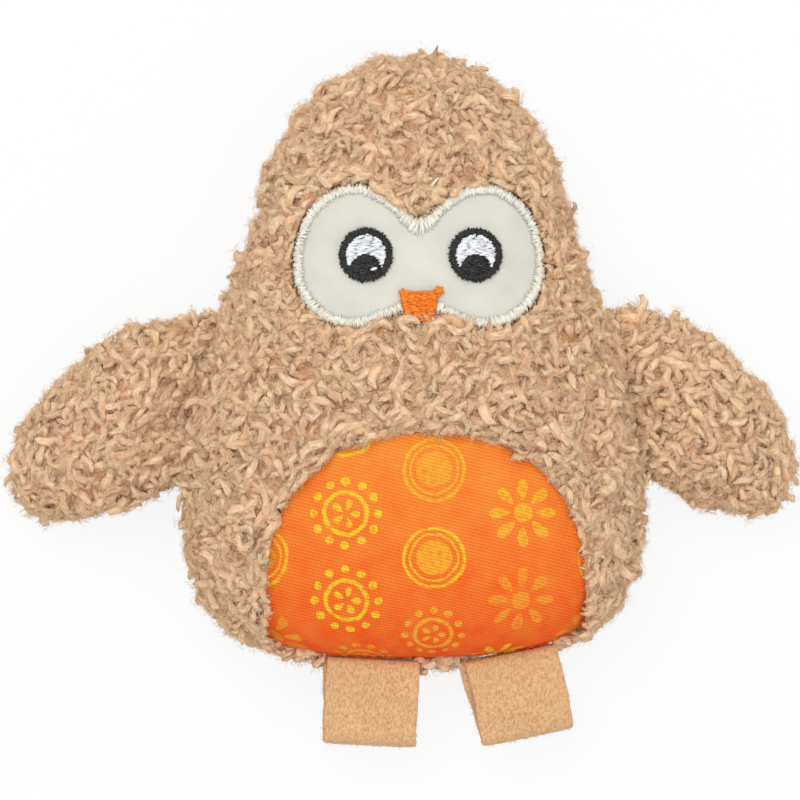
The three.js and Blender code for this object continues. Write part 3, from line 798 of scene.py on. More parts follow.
def cloth_edge(spot):
    """The mask or the belly patch, whichever is nearer on the front: how far its edge is, the
    direction away from it, and how far the curls' middles keep off it."""
    nearest, margin = min(
        ((MASK, MASK_MARGIN), (PATCH, PATCH_MARGIN)),
        key=lambda pair: pair[0].clearance(spot.x, spot.y),
    )
    off = nearest.clearance(spot.x, spot.y)
    if nearest is MASK and spot.y < MASK.centre.y:
        aside = (spot.x - MASK.centre.x) / BEAK_MARGIN_WIDTH
        margin += BEAK_MARGIN * math.exp(-aside ** 2)
    step = 0.2 * MM
    away = Vector((
        nearest.clearance(spot.x + step, spot.y) - off,
        nearest.clearance(spot.x, spot.y + step) - off,
        0,
    ))
    return off, away.normalized(), margin


def laid(spot, normal, rng, lift, tilt, clear):
    """A matrix for a strand at a spot. Where a distance to keep clear is given, strands nearer than
    that to the mask or the belly patch lie along its edge and off it."""
    scale = rng.uniform(0.8, 1.2)
    along = Vector([rng.uniform(-1, 1) for _ in range(3)]).cross(normal).normalized()
    if clear:
        off, away, margin = cloth_edge(spot)
        if off < clear:
            along = Matrix.Rotation(rng.uniform(-0.5, 0.5), 3, normal) @ Vector((-away.y, away.x, 0))
            tilt *= 0.4
        if off < 1.4 * MM:
            scale *= 0.75
        if off < margin:
            spot = spot + away * (margin - off)
    if rng.random() < CROSSED_SHARE:
        tilt *= CROSSED_TILT
    mound = MOUND_HEIGHT * noise.noise(spot / MOUND_WIDTH)
    raised = spot + normal * lift * (mound + rng.uniform(-0.7, 0.7))
    turn = Matrix.Rotation(rng.gauss(0, tilt), 4, "Y") @ Matrix.Rotation(rng.gauss(0, 0.25), 4, "X")
    return facing(raised, normal, along) @ turn @ Matrix.Scale(scale, 4)


def strewn(shapes, faces, normals, spacing, rise, rng, lift, tilt, clear=None, size=1.0):
    """Places for copies of the shapes, spread over the faces and raised off them."""
    found = []
    for spot, normal in spots_on(faces, normals, spacing, rng):
        matrix = laid(spot + normal * rise, normal, rng, lift, tilt, clear)
        found.append((rng.randrange(len(shapes)), matrix @ Matrix.Scale(size, 4)))
    return found


def plush(name, node, body, seed, careful=False, fuzzy=1.0, proud=0.0):
    """A plush panel: its knitted ground, a coat of curls and the loose fibres on them.
    A careful one keeps its curls off mask and patch, fuzzy is its share of a curl's usual fibres,
    and proud is how much higher its ground and curls stand."""
    look = bpy.context.scene.owl_plush
    rng = random.Random(seed)
    ground = solid_copy(node)
    bmesh.ops.triangulate(ground, faces=ground.faces)
    faces = outer_faces(ground, all_nodes())
    open_faces = set(faces)
    pressed = [face for face in outer_faces(ground, all_nodes(False)) if face not in open_faces]
    normals = outward(faces + pressed)
    fibres = round(look.curl_fibres * fuzzy)
    curls = [curl_shape(rng, slot % STRAND_SLOTS, look, fibres) for slot in range(2 * STRAND_SLOTS)]
    hairs = [loose_fibre(rng, slot, look) for slot in range(STRAND_SLOTS)]
    clear = look.curl_length * CURL_ROOT + 0.6 * MM if careful else None
    rise, dense, low = proud - look.curl_sink, look.curl_spacing * 0.8, -look.pile_depth
    places = strewn(curls, faces, normals, look.curl_spacing, rise, rng, 0.4 * MM, 0.4, clear)
    places += strewn(curls, pressed, normals, dense, low, rng, 0.1 * MM, 0.1, size=0.5)
    strays = strewn(hairs, faces, normals, look.fibre_spacing, proud, rng, 0.4 * MM, 0.5, clear)
    layer = ground.loops.layers.uv.new(MAP)
    for face in ground.faces:
        for loop in face.loops:
            spot = loop.vert.co
            loop[layer].uv = (0.5 + spot.x / 0.12, 0.5 + spot.y / 0.12)
    for vert, normal in normals.items():
        vert.co += normal * (proud - look.pile_depth)
    whole = bmesh.new()
    put_in(whole, ground, GROUND)
    scatter(whole, curls, places)
    scatter(whole, hairs, strays)
    floor = 0.03 * MM
    for vert in whole.verts:
        vert.co.z = max(vert.co.z, floor)
    materials = [
        shared("crimped polyester teddy pile", pile_finish, look),
        shared("knitted plush ground", ground_finish, look),
        shared("loose polyester fibre", fuzz_finish, look),
    ]
    piece(name, whole, materials, body, "plush", node)


def cloth(outline, spokes, rings, height, flat_size, thickness, under=()):
    """A cloth spread from the centre of an outline to its edge and, where under is given, turned
    down over it: each entry is how far down the next ring lies.
    Its map holds the flat cut in shares of flat_size, as the cloth runs along each spoke."""
    bm = bmesh.new()
    bmesh.ops.create_grid(bm, x_segments=spokes, y_segments=rings + len(under), size=0.5)
    columns = {}
    for vert in bm.verts:
        u, v = vert.co.x + 0.5, vert.co.y + 0.5
        columns.setdefault(round(u * spokes), []).append((v, vert))
    flat = {}
    for column, members in columns.items():
        angle = TURN * column / spokes
        along = towards(angle)
        reach = outline.reach(angle)
        members.sort(key=lambda member: member[0])
        last, run = None, 0.0
        for ring, (_, vert) in enumerate(members):
            out = reach * min(1, ring / rings)
            down = under[ring - rings - 1] if ring > rings else 0.0
            spot = outline.centre + along * out
            vert.co = Vector((spot.x, spot.y, height(spot.x, spot.y, reach - out) - down))
            run += (vert.co - last).length if last else 0.0
            last = vert.co.copy()
            flat[vert] = along * run
    layer = bm.loops.layers.uv.new(MAP)
    for face in bm.faces:
        for loop in face.loops:
            loop[layer].uv = Vector((0.5, 0.5)) + flat[loop.vert] / flat_size
    bmesh.ops.remove_doubles(bm, verts=bm.verts, dist=0.002 * MM)
    bmesh.ops.recalc_face_normals(bm, faces=bm.faces)
    if max(bm.faces, key=lambda f: f.calc_center_median().z).normal.z < 0:
        bmesh.ops.reverse_faces(bm, faces=bm.faces)
    bmesh.ops.solidify(bm, geom=bm.faces, thickness=thickness)
    return bm


def stitch_shapes(rng, width, thickness):
    """Satin stitches one unit long, which dive into the cloth at both ends."""
    shapes = []
    for slot in range(STRAND_SLOTS):
        sway = rng.uniform(-0.15, 0.15) * width
        wide = width / 2 * rng.uniform(0.85, 1.15)

        def path(t, sway=sway):
            dive = -STITCH_DIP * abs(2 * t - 1) ** 3
            return Vector((t - 0.5, sway * math.sin(math.pi * t), dive)), Vector((1, 0, 0))

        shapes.append(as_mesh(tube(path, wide, thickness / 2, 6, 6, slot)))
    return shapes


def stitch_at(spot, direction, length, depth):
    """A matrix for a stitch on the front of the body, laid along a direction seen from above."""
    place = Vector((spot.x, spot.y, skin(spot.x, spot.y, depth)))
    along = Vector((direction[0], direction[1], 0))
    return facing(place, lean(spot.x, spot.y, depth), along) @ Matrix.Scale(length, 4, (1, 0, 0))


def walked(points, pitch):
    """Steps of one pitch along a closed outline: each place and the direction out of it."""
    points = [Vector(p) for p in points]
    centre = sum(points, Vector((0, 0))) / len(points)
    steps, left = [], 0.0
    for start, end in zip(points, [*points[1:], points[0]]):
        run = (end - start).length
        if run < 1e-9:
            continue
        along = (end - start) / run
        out = Vector((along.y, -along.x))
        if out.dot(start - centre) < 0:
            out = -out
        while left < run:
            steps.append((start + along * left, out))
            left += pitch
        left -= run
    return steps


def rows(inside, centre, half, slope, pitch, rng, overlap, longest):
    """Parallel stitches over the area where inside is true, each with its middle and length.
    A row longer than the longest stitch is broken into several that overlap a little."""
    along = Vector((1, slope)).normalized()
    across = Vector((-along.y, along.x))
    found = []
    count = int(half / pitch)
    fine = 0.04 * MM
    for row in range(-count, count + 1):
        start = None
        offset = across * (row * pitch + rng.uniform(-0.15, 0.15) * pitch)
        for step in range(int(-half / fine), int(half / fine) + 2):
            spot = centre + offset + along * (step * fine)
            if inside(spot.x, spot.y) and start is None:
                start = step
            elif start is not None and not inside(spot.x, spot.y):
                low = start * fine - rng.uniform(0, overlap)
                high = step * fine + rng.uniform(0, overlap)
                while high - low > 0.25 * MM:
                    end = low + longest * rng.uniform(0.5, 1)
                    end = high if high - end < 0.3 * MM else end
                    found.append((centre + offset + along * (low + end) / 2, end - low))
                    low = end - 0.08 * MM if end < high else high
                start = None
    return found


def row_stitches(inside, centre, half, slope, sway, depth, rng, overlap, longest):
    """The stitches of such rows at a depth, each turned a little by up to a sway."""
    pitch = bpy.context.scene.owl_thread.eye_pitch
    return [
        stitch_at(spot, (1, slope + rng.uniform(-sway, sway)), length, depth)
        for spot, length in rows(inside, centre, half, slope, pitch, rng, overlap, longest)
    ]


def in_beak(x, y):
    """True inside the beak's outline, which tapers to a blunt tip."""
    up = (y - BOTTOM_Y - BEAK_LEVEL) / BEAK_HALF
    half = mix(BEAK_TIP, BEAK_TOP, (up + 1) / 2) + 0.25 * MM * math.sin(math.pi * (up + 1) / 2)
    return abs(up) < 1 and abs(x - MASK_X) < half


def embroidered(name, places, thread, slot, node, seed):
    """A piece of embroidery made of single satin stitches."""
    look = bpy.context.scene.owl_thread
    shapes = stitch_shapes(random.Random(seed), look.thread_width, look.thread_thickness)
    rng = random.Random(seed + 1)
    whole = bmesh.new()
    scatter(whole, shapes, [(rng.randrange(STRAND_SLOTS), place) for place in places])
    key = thread.split()[-1]
    material = shared(f"{thread} polyester embroidery thread", thread_finish, getattr(look, key))
    return piece(name, whole, [material], "torso", slot, node)


def colour_prop(name, description, code):
    return bpy.props.FloatVectorProperty(
        name=name, description=description, default=linear(code), size=4,
        min=0, max=1, subtype="COLOR",
    )


def length_prop(name, description, default, least=0.0):
    return bpy.props.FloatProperty(
        name=name, description=description, default=default, min=least, unit="LENGTH", precision=5,
    )


class PlushLook(bpy.types.PropertyGroup):
    """Curly plush of body and wings."""

    curl_length: length_prop("Curl length", "Length of a curl from root to tip", 4.2 * MM)
    curl_width: length_prop("Curl width", "Width of a curl at its middle", 1.15 * MM)
    curl_spacing: length_prop("Curl spacing", "Least distance between curls", 0.92 * MM)
    curl_sink: length_prop("Curl sink", "How far curls lie below the pile's height", 0.2 * MM)
    curl_fibres: bpy.props.IntProperty(
        name="Curl fibres", description="Fine fibres that stand off each curl", default=36, min=0,
    )
    pile_depth: length_prop("Pile depth", "From the pile's height down to its ground", 0.6 * MM)
    fibre_length: length_prop("Fibre length", "Length of a fine fibre", 1.2 * MM)
    fibre_width: length_prop("Fibre width", "Width of a fine fibre at its middle", 0.07 * MM)
    fibre_spacing: length_prop("Fibre spacing", "Least distance between loose fibres", 0.7 * MM)
    pile: colour_prop("Pile", "Colour of most curls", "#ffd9b0")
    pile_light: colour_prop("Pile light", "Colour of the palest curls", "#ffe3c0")
    pile_shade: colour_prop("Pile shade", "Colour of the deepest curls", "#efc29a")
    # Painted light: the fuzz is paler than the pile, for light passing through thin fibres
    fuzz: colour_prop("Fuzz", "Colour of the fibres that stand off the curls", "#ffdbb2")
    # Painted shade: the ground is a deeper tan than the pile, for the shade between the curls
    ground: colour_prop("Ground", "Colour of the knitted ground", "#dda87c")


class PrintLook(bpy.types.PropertyGroup):
    """Printed cotton of the belly patch."""

    motif_spacing: length_prop("Motif spacing", "Distance between printed motifs", 11.4 * MM)
    weave_pitch: length_prop("Weave pitch", "Distance between drawn threads", 0.42 * MM)
    weave_slant: bpy.props.FloatProperty(
        name="Weave slant", description="How far the cloth was cut off its grain",
        default=math.radians(14), subtype="ANGLE",
    )
    thickness: length_prop("Thickness", "Thickness of the cotton", 0.4 * MM)
    ground: colour_prop("Ground", "Brighter colour of the print's ground", "#ff973c")
    ground_deep: colour_prop("Deep ground", "Deeper colour of the print's ground", "#ff4f18")
    yellow: colour_prop("Yellow", "Colour of the bolder motifs", "#fdd635")
    amber: colour_prop("Amber", "Colour of the fainter motifs", "#fbb03c")


class MaskLook(bpy.types.PropertyGroup):
    """Velour of the face mask."""

    thickness: length_prop("Thickness", "Thickness of the velour", 0.8 * MM)
    colour: colour_prop("Velour", "Colour of the velour", "#dbd9cf")
    # Painted shade: the colour between the velour's pile
    nap_shade: colour_prop("Velour shade", "Colour between the pile", "#d8d6ca")


class ThreadLook(bpy.types.PropertyGroup):
    """Embroidery of mask, eyes and beak."""

    border_pitch: length_prop("Border pitch", "Distance between stitches of the border", 0.16 * MM)
    border_width: length_prop("Border width", "Width of the stitched border", 1.35 * MM)
    eye_pitch: length_prop("Eye pitch", "Distance between stitches of the eyes", 0.2 * MM)
    thread_width: length_prop("Thread width", "Width of a laid thread", 0.28 * MM)
    thread_thickness: length_prop("Thread thickness", "Thickness of a laid thread", 0.15 * MM)
    cream: colour_prop("Cream", "Colour of the cream thread", "#fbf8ea")
    white: colour_prop("White", "Colour of the thread of the eyes' whites", "#f0f2f7")
    black: colour_prop("Black", "Colour of the black thread", "#2b2b29")
    orange: colour_prop("Orange", "Colour of the orange thread", "#fb8728")


class RibbonLook(bpy.types.PropertyGroup):
    """Velour ribbon of the feet."""

    width: length_prop("Ribbon width", "Width of the ribbon", 12.1 * MM)
    thickness: length_prop("Ribbon thickness", "Thickness of the ribbon", 1.0 * MM)
    reach: length_prop("Foot length", "From the seam to the fold", 11.4 * MM)
    nap_length: length_prop("Nap length", "Length of the fibres on the ribbon", 0.9 * MM)
    nap_width: length_prop("Nap width", "Width of a fibre on the ribbon", 0.06 * MM)
    colour: colour_prop("Ribbon", "Colour of the ribbon", "#ecbf8f")
    # Painted shade: the colour between the ribbon's nap, also worn by its darker nap fibres
    nap_shade: colour_prop("Ribbon shade", "Colour between the nap", "#c49362")


class InsideLook(bpy.types.PropertyGroup):
    """What lies inside the toy."""

    wadding: colour_prop("Wadding", "Colour of the polyester wadding", "#f4f4f0")
    nonwoven: colour_prop("Nonwoven", "Colour of stabiliser and sachet", "#e9e7dd")
    herb: colour_prop("Herb", "Colour of the dried catnip", "#7d8a4c")


class StageLook(bpy.types.PropertyGroup):
    """Camera, light and floor."""

    view_width: length_prop("View width", "Width of the picture at the toy's side seam", 104 * MM)
    view_distance: length_prop("View distance", "From the side seam up to the camera", 800 * MM)
    view_x: length_prop("View x", "Middle of the picture, left to right", -0.26 * MM, -1.0)
    view_y: length_prop("View y", "Middle of the picture, feet to head", 0.33 * MM, -1.0)
    floor_size: length_prop("Floor size", "Side of the pale floor", 4.0)
    sky_strength: bpy.props.FloatProperty(
        name="Sky", description="Strength of the light from all round", default=0.6, min=0,
    )
    lamp_power: bpy.props.FloatProperty(
        name="Lamp", description="Power of the soft lamp", default=2.6, min=0, unit="POWER",
    )
    floor_colour: colour_prop("Floor", "Colour of the floor", "#f4f4f4")


class OWL_OT_stage(bpy.types.Operator):
    """Make the floor, the soft light and the camera above the toy"""

    bl_idname = "owl.stage"
    bl_label = "Stage"

    def execute(self, context):
        look = context.scene.owl_stage
        scene = context.scene
        scene.view_settings.view_transform = "Standard"
        self.add_floor(scene, look)
        self.add_sky(scene, look)
        for lamp in LAMPS:
            self.add_lamp(scene, look, *lamp)
        camera = bpy.data.cameras.new("camera")
        camera.sensor_width = 36
        camera.lens = camera.sensor_width * look.view_distance / look.view_width
        camera.clip_start = 0.01
        camera.clip_end = 20
        eye = bpy.data.objects.new("camera", camera)
        eye.location = (look.view_x, look.view_y, SEAM_Z + look.view_distance)
        scene.collection.objects.link(eye)
        scene.camera = eye
        return {"FINISHED"}

    def seen(self, tree):
        """1 for the rays that show the background: the camera's, and those of gloss and glass."""
        rays = add_node(tree, "LightPath").outputs
        seen = add_node(tree, "Math MAXIMUM", rays["Is Camera Ray"], rays["Is Glossy Ray"])
        return add_node(tree, "Math MAXIMUM", seen, rays["Is Transmission Ray"])

    def add_floor(self, scene, look):
        bm = bmesh.new()
        bmesh.ops.create_grid(bm, x_segments=1, y_segments=1, size=look.floor_size / 2)
        mesh = as_mesh(bm, "floor")
        material = bpy.data.materials.new("seamless white paper")
        material.use_nodes = True
        tree = material.node_tree
        tree.nodes.clear()
        paper = add_node(tree, "BsdfDiffuse", look.floor_colour)
        glow = add_node(tree, "Emission", WHITE, 1.0)
        share = add_node(tree, "Math MULTIPLY", self.seen(tree), 0.88)
        add_node(tree, "OutputMaterial", add_node(tree, "MixShader", share, paper, glow))
        mesh.materials.append(material)
        floor = bpy.data.objects.new("floor", mesh)
        scene.collection.objects.link(floor)

    def add_sky(self, scene, look):
        scene.world = scene.world or bpy.data.worlds.new("sky")
        scene.world.use_nodes = True
        tree = scene.world.node_tree
        tree.nodes.clear()
        more = add_node(tree, "Math MULTIPLY", self.seen(tree), 1 - look.sky_strength)
        strength = add_node(tree, "Math ADD", more, look.sky_strength)
        add_node(tree, "OutputWorld", add_node(tree, "Background", WHITE, strength))

    def add_lamp(self, scene, look, name, place, size, share):
        lamp = bpy.data.lights.new(name, "AREA")
        lamp.size = size
        lamp.energy = look.lamp_power * share
        obj = bpy.data.objects.new(name, lamp)
        obj.location = place
        obj.rotation_euler = (-Vector(place)).to_track_quat("-Z", "Y").to_euler()
        obj.visible_camera = False
        scene.collection.objects.link(obj)


class OWL_OT_body_plush(bpy.types.Operator):
    """Make the curly plush of the body's front and back"""

    bl_idname = "owl.body_plush"
    bl_label = "Body plush"

    def execute(self, context):
        plush("front_plush", "front_panel", "torso", 11, careful=True)
        plush("back_plush", "back_panel", "torso", 12, fuzzy=0.5)
        return {"FINISHED"}


class OWL_OT_wing_plush(bpy.types.Operator):
    """Make the curly plush of both wings"""

    bl_idname = "owl.wing_plush"
    bl_label = "Wing plush"

    def execute(self, context):
        panels = [(side, face) for side in ("left", "right") for face in ("front", "back")]
        for seed, (side, face) in enumerate(panels, 21):
            name = f"{side}_wing_{face}"
            plush(f"{name}_plush", f"{name}_panel", f"{side}_wing", seed, proud=WING_PROUD)
        return {"FINISHED"}


class OWL_OT_belly_patch(bpy.types.Operator):
    """Make the printed cotton patch, its edge turned under the plush"""

    bl_idname = "owl.belly_patch"
    bl_label = "Belly patch"

    def execute(self, context):
        look = context.scene.owl_print

        def height(x, y, from_edge):
            near = math.exp(-max(0, from_edge) / (1.6 * MM))
            ripple = noise.noise(Vector((x, y, 0)) / (2.3 * MM)) * 0.35 * MM * near
            swell = noise.noise(Vector((x, y, 5 * MM)) / (9 * MM)) * 0.25 * MM
            lifted = max(-0.08 * MM, ripple + swell)
            return max(SEAM_Z + 0.3 * MM, skin(x, y, PATCH_SINK) + lifted)

        bm = cloth(PATCH, 240, 56, height, PATCH_FLAT, look.thickness, PATCH_UNDER)
        material = cotton_finish("printed plain-weave cotton", look)
        made = piece("belly_cotton", bm, [material], "torso", "print", "belly_patch")
        return {"FINISHED"}


class OWL_OT_face_mask(bpy.types.Operator):
    """Make the velour mask and the satin stitch round it"""

    bl_idname = "owl.face_mask"
    bl_label = "Face mask"

    def execute(self, context):
        look, thread = context.scene.owl_mask, context.scene.owl_thread

        def height(x, y, from_edge):
            pucker = noise.noise(Vector((x, y, 3 * MM)) / (3.2 * MM)) * 0.1 * MM
            return skin(x, y, MASK_DEPTH) + pucker

        bm = cloth(MASK, 200, 36, height, 40 * MM, look.thickness)
        material = velour_finish("cream velour", look, 0.7, 0.03 * MM)
        made = piece("mask_velour", bm, [material], "torso", "velour", "face_mask")
        rng = random.Random(31)
        notch = Vector((MASK_X, MASK_Y + NOTCH_LEVEL))
        places = []
        for layer in range(3):
            for spot, out in walked(mask_points(), thread.border_pitch):
                if in_beak(spot.x, spot.y):
                    continue
                crossing = BORDER_CROSSING if layer % 2 else -BORDER_CROSSING
                slant = rng.uniform(*BORDER_SLANTS) + crossing
                way = Matrix.Rotation(slant, 2) @ out
                length = thread.border_width * rng.uniform(*BORDER_LENGTHS)
                deeper = math.exp(-((spot - notch).length / NOTCH_WIDTH) ** 2)
                off = spot + out * (rng.uniform(-0.45, 0.1) * MM - 0.5 * MM * deeper)
                depth = STITCH_DEPTH + (0.34 - 0.1 * layer) * MM
                laid_in = stitch_at(off, way, length + 1.1 * MM * deeper, depth)
                places.append(laid_in @ Matrix.Scale(0.75, 4, (0, 1, 0)))
        places.append(stitch_at(LOOSE_THREAD, (0.63, 0.77), 1.9 * MM, -1.1 * MM))
        embroidered("mask_satin_border", places, "cream", "white_thread", "mask_border", 32)
        return {"FINISHED"}


class OWL_OT_eyes(bpy.types.Operator):
    """Embroider both eyes: a ring, the white and the lowered pupil"""

    bl_idname = "owl.eyes"
    bl_label = "Eyes"

    def execute(self, context):
        for number, (side, sign) in enumerate((("left", -1), ("right", 1))):
            rng = random.Random(41 + number)
            centre = Vector((MIDDLE_X + EYE_SHIFT + sign * EYE_SPACING / 2, MASK_Y))
            low = centre - Vector((0, PUPIL_DROP))
            inner = EYE_RADIUS - EYE_RING

            def in_pupil(x, y, low=low, centre=centre, reach=inner + 0.3 * MM):
                spot = Vector((x, y))
                return (spot - low).length < PUPIL_RADIUS and (spot - centre).length < reach

            def in_white(x, y, low=low, centre=centre, reach=inner + 0.1 * MM):
                spot = Vector((x, y))
                return (spot - centre).length < reach and (spot - low).length > PUPIL_RADIUS

            ring = self.ring(centre, context.scene.owl_thread.eye_pitch * 0.9, rng)
            white = []
            for deep in (0.2 * MM, 0.03 * MM):
                depth = STITCH_DEPTH + deep
                white += row_stitches(
                    in_white, centre, EYE_RADIUS, 0, 0.1, depth, rng, 0.35 * MM, 2 * MM,
                )
            depth = STITCH_DEPTH + 0.08 * MM
            pupil = row_stitches(in_pupil, low, EYE_RADIUS, 0, 0.12, depth, rng, 0.3 * MM, 2 * MM)
            # Painted highlight: two bright white stitches on the left pupil where it shows a glint
            if side == "left":
                for off in (0, 0.12 * MM):
                    glint = centre + Vector((1.05 * MM, -1.75 * MM - off))
                    white.append(stitch_at(glint, (1, 0.25), 1 * MM, STITCH_DEPTH - 0.1 * MM))
            parts = (("ring", ring, "black"), ("white", white, "white"), ("pupil", pupil, "black"))
            for part, places, colour in parts:
                name = f"{side}_eye_{part}"
                thread = "bright white" if colour == "white" else colour
                seed = 50 + 10 * number + len(part)
                embroidered(f"{name}_stitches", places, thread, f"{colour}_thread", name, seed)
        return {"FINISHED"}

    def ring(self, centre, pitch, rng):
        """Three layers of short stitches across an eye's ring."""
        places = []
        for layer in range(3):
            count = int(TURN * (EYE_RADIUS - EYE_RING / 2) / pitch)
            for step in range(count):
                angle = TURN * (step + rng.uniform(-0.2, 0.2) + 0.33 * layer) / count
                out = towards(angle)
                spot = centre + out * (EYE_RADIUS - EYE_RING / 2 + rng.uniform(-0.14, 0.14) * MM)
                way = Matrix.Rotation(rng.uniform(-0.35, 0.35), 2) @ out
                length = EYE_RING * rng.uniform(0.7, 1.4)
                places.append(stitch_at(spot, way, length, STITCH_DEPTH + (0.15 - 0.13 * layer) * MM))
        return places


class OWL_OT_beak(bpy.types.Operator):
    """Embroider the beak, with the knot that its thread ends in"""

    bl_idname = "owl.beak"
    bl_label = "Beak"

    def execute(self, context):
        rng = random.Random(71)
        centre = Vector((MASK_X, BOTTOM_Y + BEAK_LEVEL))
        places = []
        for layer in range(3):
            depth = STITCH_DEPTH - (0.02 + 0.1 * layer) * MM
            slope = 0.1 * layer - 0.08
            places += row_stitches(
                in_beak, centre, 3 * MM, slope, 0.12, depth, rng, 0.3 * MM, 1.5 * MM,
            )
        for corner, count in ((1, 34), (-1, 8)):
            aside = BEAK_TOP + (0.15 + 0.15 * corner) * MM
            knot = centre + Vector((corner * aside, BEAK_HALF + 0.1 * MM * corner))
            for _ in range(count):
                way = Matrix.Rotation(rng.uniform(0, TURN), 2) @ Vector((1, 0))
                off = knot + Vector((rng.gauss(0, 0.2), rng.gauss(0, 0.2))) * MM
                high = STITCH_DEPTH - rng.uniform(0.15, 0.45) * MM
                places.append(stitch_at(off, way, 0.8 * MM, high))
        embroidered("beak_stitches", places, "orange", "orange_thread", "beak", 72)
        return {"FINISHED"}


class OWL_OT_feet(bpy.types.Operator):
    """Make the folded ribbon feet"""

    bl_idname = "owl.feet"
    bl_label = "Feet"

    def execute(self, context):
        look = context.scene.owl_ribbon
        ribbon = velour_finish("napped velour ribbon", look, 0.45, 0.2 * MM)
        fibre = nap_finish("velour nap fibre", look)
        for side, skew, grain, seed in (
            ("left", -0.5 * MM, 3.1, 81),
            ("right", -1.0 * MM, 7.7, 82),
        ):
            bm = wrapped_grid(40, 48, self.folded(side, look, skew, grain))
            bmesh.ops.holes_fill(bm, edges=[e for e in bm.edges if e.is_boundary])
            bmesh.ops.recalc_face_normals(bm, faces=bm.faces)
            rng = random.Random(seed)
            radius = look.nap_width / 2
            hairs = [
                as_mesh(fibre_shape(rng, slot, ORIGIN, NAP_LIE, look.nap_length, radius))
                for slot in range(STRAND_SLOTS)
            ]
            faces = bmesh.ops.triangulate(bm, faces=bm.faces)["faces"]
            fuzz = strewn(hairs, faces, outward(faces), NAP_SPACING, 0.0, rng, 0.05 * MM, 0.35)
            nap = bmesh.new()
            scatter(nap, hairs, fuzz)
            body = f"{side}_foot"
            made = piece(f"{body}_ribbon", bm, [ribbon], body, "ribbon", f"{body}_loop")
            piece(f"{body}_nap", nap, [fibre], body, "ribbon")
        return {"FINISHED"}

    def folded(self, side, look, skew, grain):
        """Turns places around and along a foot's ribbon into points that hang from its joint."""
        joint = next(j for j in frame["joints"] if j["name"] == f"{side}_foot_swing")
        root = Vector(joint["pos_m"])
        across = -Vector(joint["axis"])
        down = Matrix.Rotation(FOOT_TILT, 3, across) @ Vector((across.y, -across.x, 0))
        out = across.cross(down) * -1
        if out.z < 0:
            out = -out
        path = self.section(look)

        def place(u, t):
            at = min(len(path) - 2, int(t * (len(path) - 1)))
            run = path[at].lerp(path[at + 1], t * (len(path) - 1) - at)
            ahead = (path[at + 1] - path[at]).normalized()
            normal = Vector((-ahead.y, ahead.x))
            c, s = math.cos(TURN * u), math.sin(TURN * u)
            wide = math.copysign(abs(c) ** 0.35, c) * look.width / 2
            thick = math.copysign(abs(s) ** 0.5, s) * look.thickness / 2
            if t < 0.001 or t > 0.999:
                thick *= 0.2
                wide *= 0.98
            wide += 0.2 * MM * noise.noise(Vector((t * 9, c, grain)))
            wide += skew * smooth(0.4, 1.0, t)
            spot = run + normal * thick
            swell = 0.12 * MM * noise.noise(Vector((wide * 220, t * 5, grain)))
            return root + down * spot.x + out * (spot.y + swell) + across * wide

        return place

    def section(self, look):
        """The ribbon's middle line, down from the seam and out of the face, folded back on itself."""
        root = 0.15 * MM + look.thickness / 2
        fold = FOLD_RADIUS
        far = look.reach - fold - look.thickness / 2
        half = far / 2
        front = curve((-0.35 * MM, root), (half, root), (half, fold), (far, fold), steps=20)
        turn = [
            (far + fold * math.sin(math.pi * k / 12), fold * math.cos(math.pi * k / 12))
            for k in range(1, 12)
        ]
        back = [(x, -y) for x, y in reversed(front)]
        return evenly([Vector(p) for p in [*front, *turn, *back]], 60)


def evenly(line, count):
    """Points at even steps along a line."""
    runs = [0.0]
    for before, after in zip(line, line[1:]):
        runs.append(runs[-1] + (after - before).length)
    found = []
    for step in range(count + 1):
        want = runs[-1] * step / count
        at = min(len(line) - 1, max(1, bisect.bisect_left(runs, want)))
        share = (want - runs[at - 1]) / max(1e-12, runs[at] - runs[at - 1])
        found.append(line[at - 1].lerp(line[at], share))
    return found


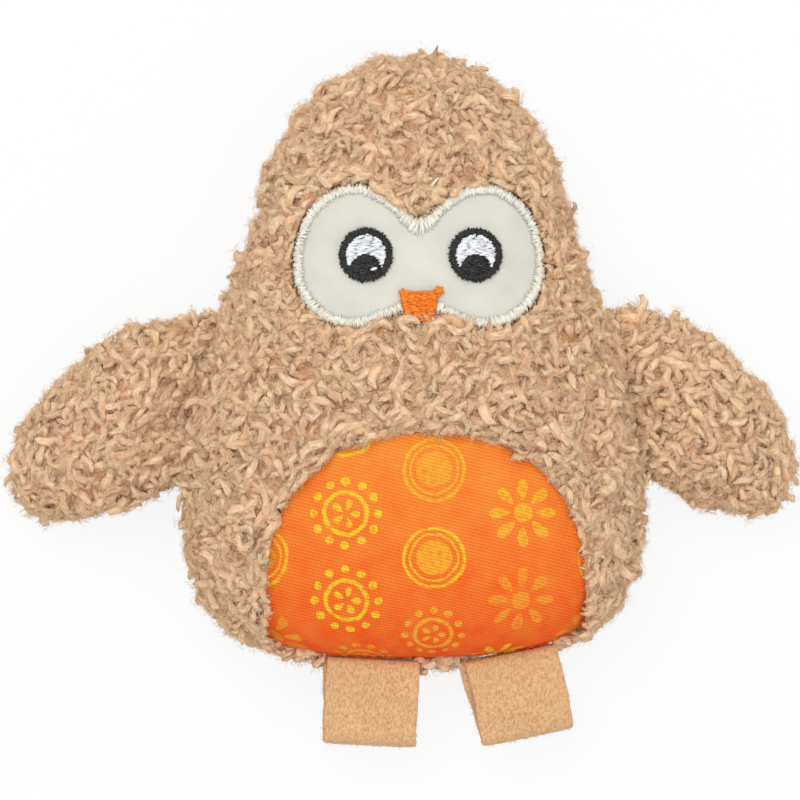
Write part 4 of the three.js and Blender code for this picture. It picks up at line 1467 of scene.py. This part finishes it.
class OWL_OT_inside(bpy.types.Operator):
    """Make the wadding, the stabiliser and the sachet of dried catnip"""

    bl_idname = "owl.inside"
    bl_label = "Inside"

    def execute(self, context):
        look = context.scene.owl_inside
        wadding = fibrous_finish("polyester wadding", look.wadding, 500.0, 0.5 * MM)
        nonwoven = fibrous_finish(
            "spunbonded nonwoven", look.nonwoven, 1500.0, 0.05 * MM, stretch=(1, 0.3, 1),
        )
        for part, body, fill in (
            ("body", "torso", 0.75),
            ("left_wing", "left_wing", 0.6),
            ("right_wing", "right_wing", 0.6),
        ):
            bm = self.softened(f"{part}_filling", 0.12 * MM, 3 * MM)
            made = piece(f"{part}_wadding", bm, [wadding], body, "wadding", f"{part}_filling")
        for name, node, flat, area, rests in (
            ("face_stabiliser", "embroidery_stabiliser", (38, 24), 8.4e-4, "body_wadding"),
            ("sachet_front", "sachet_front_sheet", (28, 24), 6e-4, "body_wadding"),
            ("sachet_back", "sachet_back_sheet", (28, 24), 6e-4, "back_plush"),
        ):
            bm = self.softened(node, 0.03 * MM, 2 * MM)
            made = piece(f"{name}_nonwoven", bm, [nonwoven], "torso", "nonwoven", node)
        self.add_catnip(look)
        return {"FINISHED"}

    def softened(self, node, amount, scale):
        """A finer, slightly uneven copy of a soft CAD solid."""
        bm = solid_copy(node)
        long_edges = [e for e in bm.edges if e.calc_length() > 2.5 * MM]
        bmesh.ops.subdivide_edges(bm, edges=long_edges, cuts=2, use_grid_fill=True)
        bmesh.ops.triangulate(bm, faces=bm.faces)
        for vert in bm.verts:
            vert.co -= vert.normal * amount * (1 + noise.noise(vert.co / scale)) / 2
        return bm

    def add_catnip(self, look):
        """Crumbled leaf: small bent flakes that fill the sachet."""
        rng = random.Random(91)
        low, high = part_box("catnip")
        centre, half = (low + high) / 2, (high - low) / 2
        flakes = []
        for _ in range(8):
            bm = bmesh.new()
            bmesh.ops.create_icosphere(bm, subdivisions=1, radius=0.55 * MM)
            for vert in bm.verts:
                vert.co *= 1 + 0.4 * noise.noise(vert.co * 2500 + Vector((rng.random() * 9, 0, 0)))
                vert.co.z *= 0.35
            flakes.append(as_mesh(bm))
        places = []
        while len(places) < 1500:
            spot = Vector([rng.uniform(-1, 1) for _ in range(3)])
            if abs(spot.x) ** 3 + abs(spot.y) ** 3 + abs(spot.z) ** 2 > 0.8:
                continue
            away = Vector((spot.x * half.x, spot.y * half.y, spot.z * half.z)) * 0.93
            spin = Matrix.Rotation(rng.uniform(0, TURN), 4, Vector([rng.gauss(0, 1) for _ in range(3)]))
            flat = Matrix.Scale(rng.uniform(0.6, 1.2), 4)
            places.append((rng.randrange(8), Matrix.Translation(centre + away) @ spin @ flat))
        whole = bmesh.new()
        scatter(whole, flakes, places)
        material = fibrous_finish("crumbled dried catnip", look.herb, 900.0, 0.1 * MM)
        piece("catnip_crumbs", whole, [material], "torso", "dried_herb", "catnip")


class OWL_PT_pieces(bpy.types.Panel):
    """The toy's pieces"""

    bl_idname = "OWL_PT_pieces"
    bl_label = "Owl cat toy"
    bl_space_type = "VIEW_3D"
    bl_region_type = "UI"
    bl_category = "Owl toy"

    def draw(self, context):
        for operator in OPERATORS:
            self.layout.operator(operator.bl_idname)


OPERATORS = (
    OWL_OT_stage,
    OWL_OT_body_plush,
    OWL_OT_wing_plush,
    OWL_OT_belly_patch,
    OWL_OT_face_mask,
    OWL_OT_eyes,
    OWL_OT_beak,
    OWL_OT_feet,
    OWL_OT_inside,
)
LOOKS = {
    "owl_stage": StageLook,
    "owl_plush": PlushLook,
    "owl_print": PrintLook,
    "owl_mask": MaskLook,
    "owl_thread": ThreadLook,
    "owl_ribbon": RibbonLook,
    "owl_inside": InsideLook,
}


def register():
    for cls in (*LOOKS.values(), *OPERATORS, OWL_PT_pieces):
        bpy.utils.register_class(cls)
    for name, look in LOOKS.items():
        setattr(bpy.types.Scene, name, bpy.props.PointerProperty(type=look))


def unregister():
    for name in LOOKS:
        delattr(bpy.types.Scene, name)
    for cls in reversed((*LOOKS.values(), *OPERATORS, OWL_PT_pieces)):
        bpy.utils.unregister_class(cls)


def main():
    register()
    for operator in OPERATORS:
        group, name = operator.bl_idname.split(".")
        getattr(getattr(bpy.ops, group), name)()


if __name__ == "__main__":
    main()
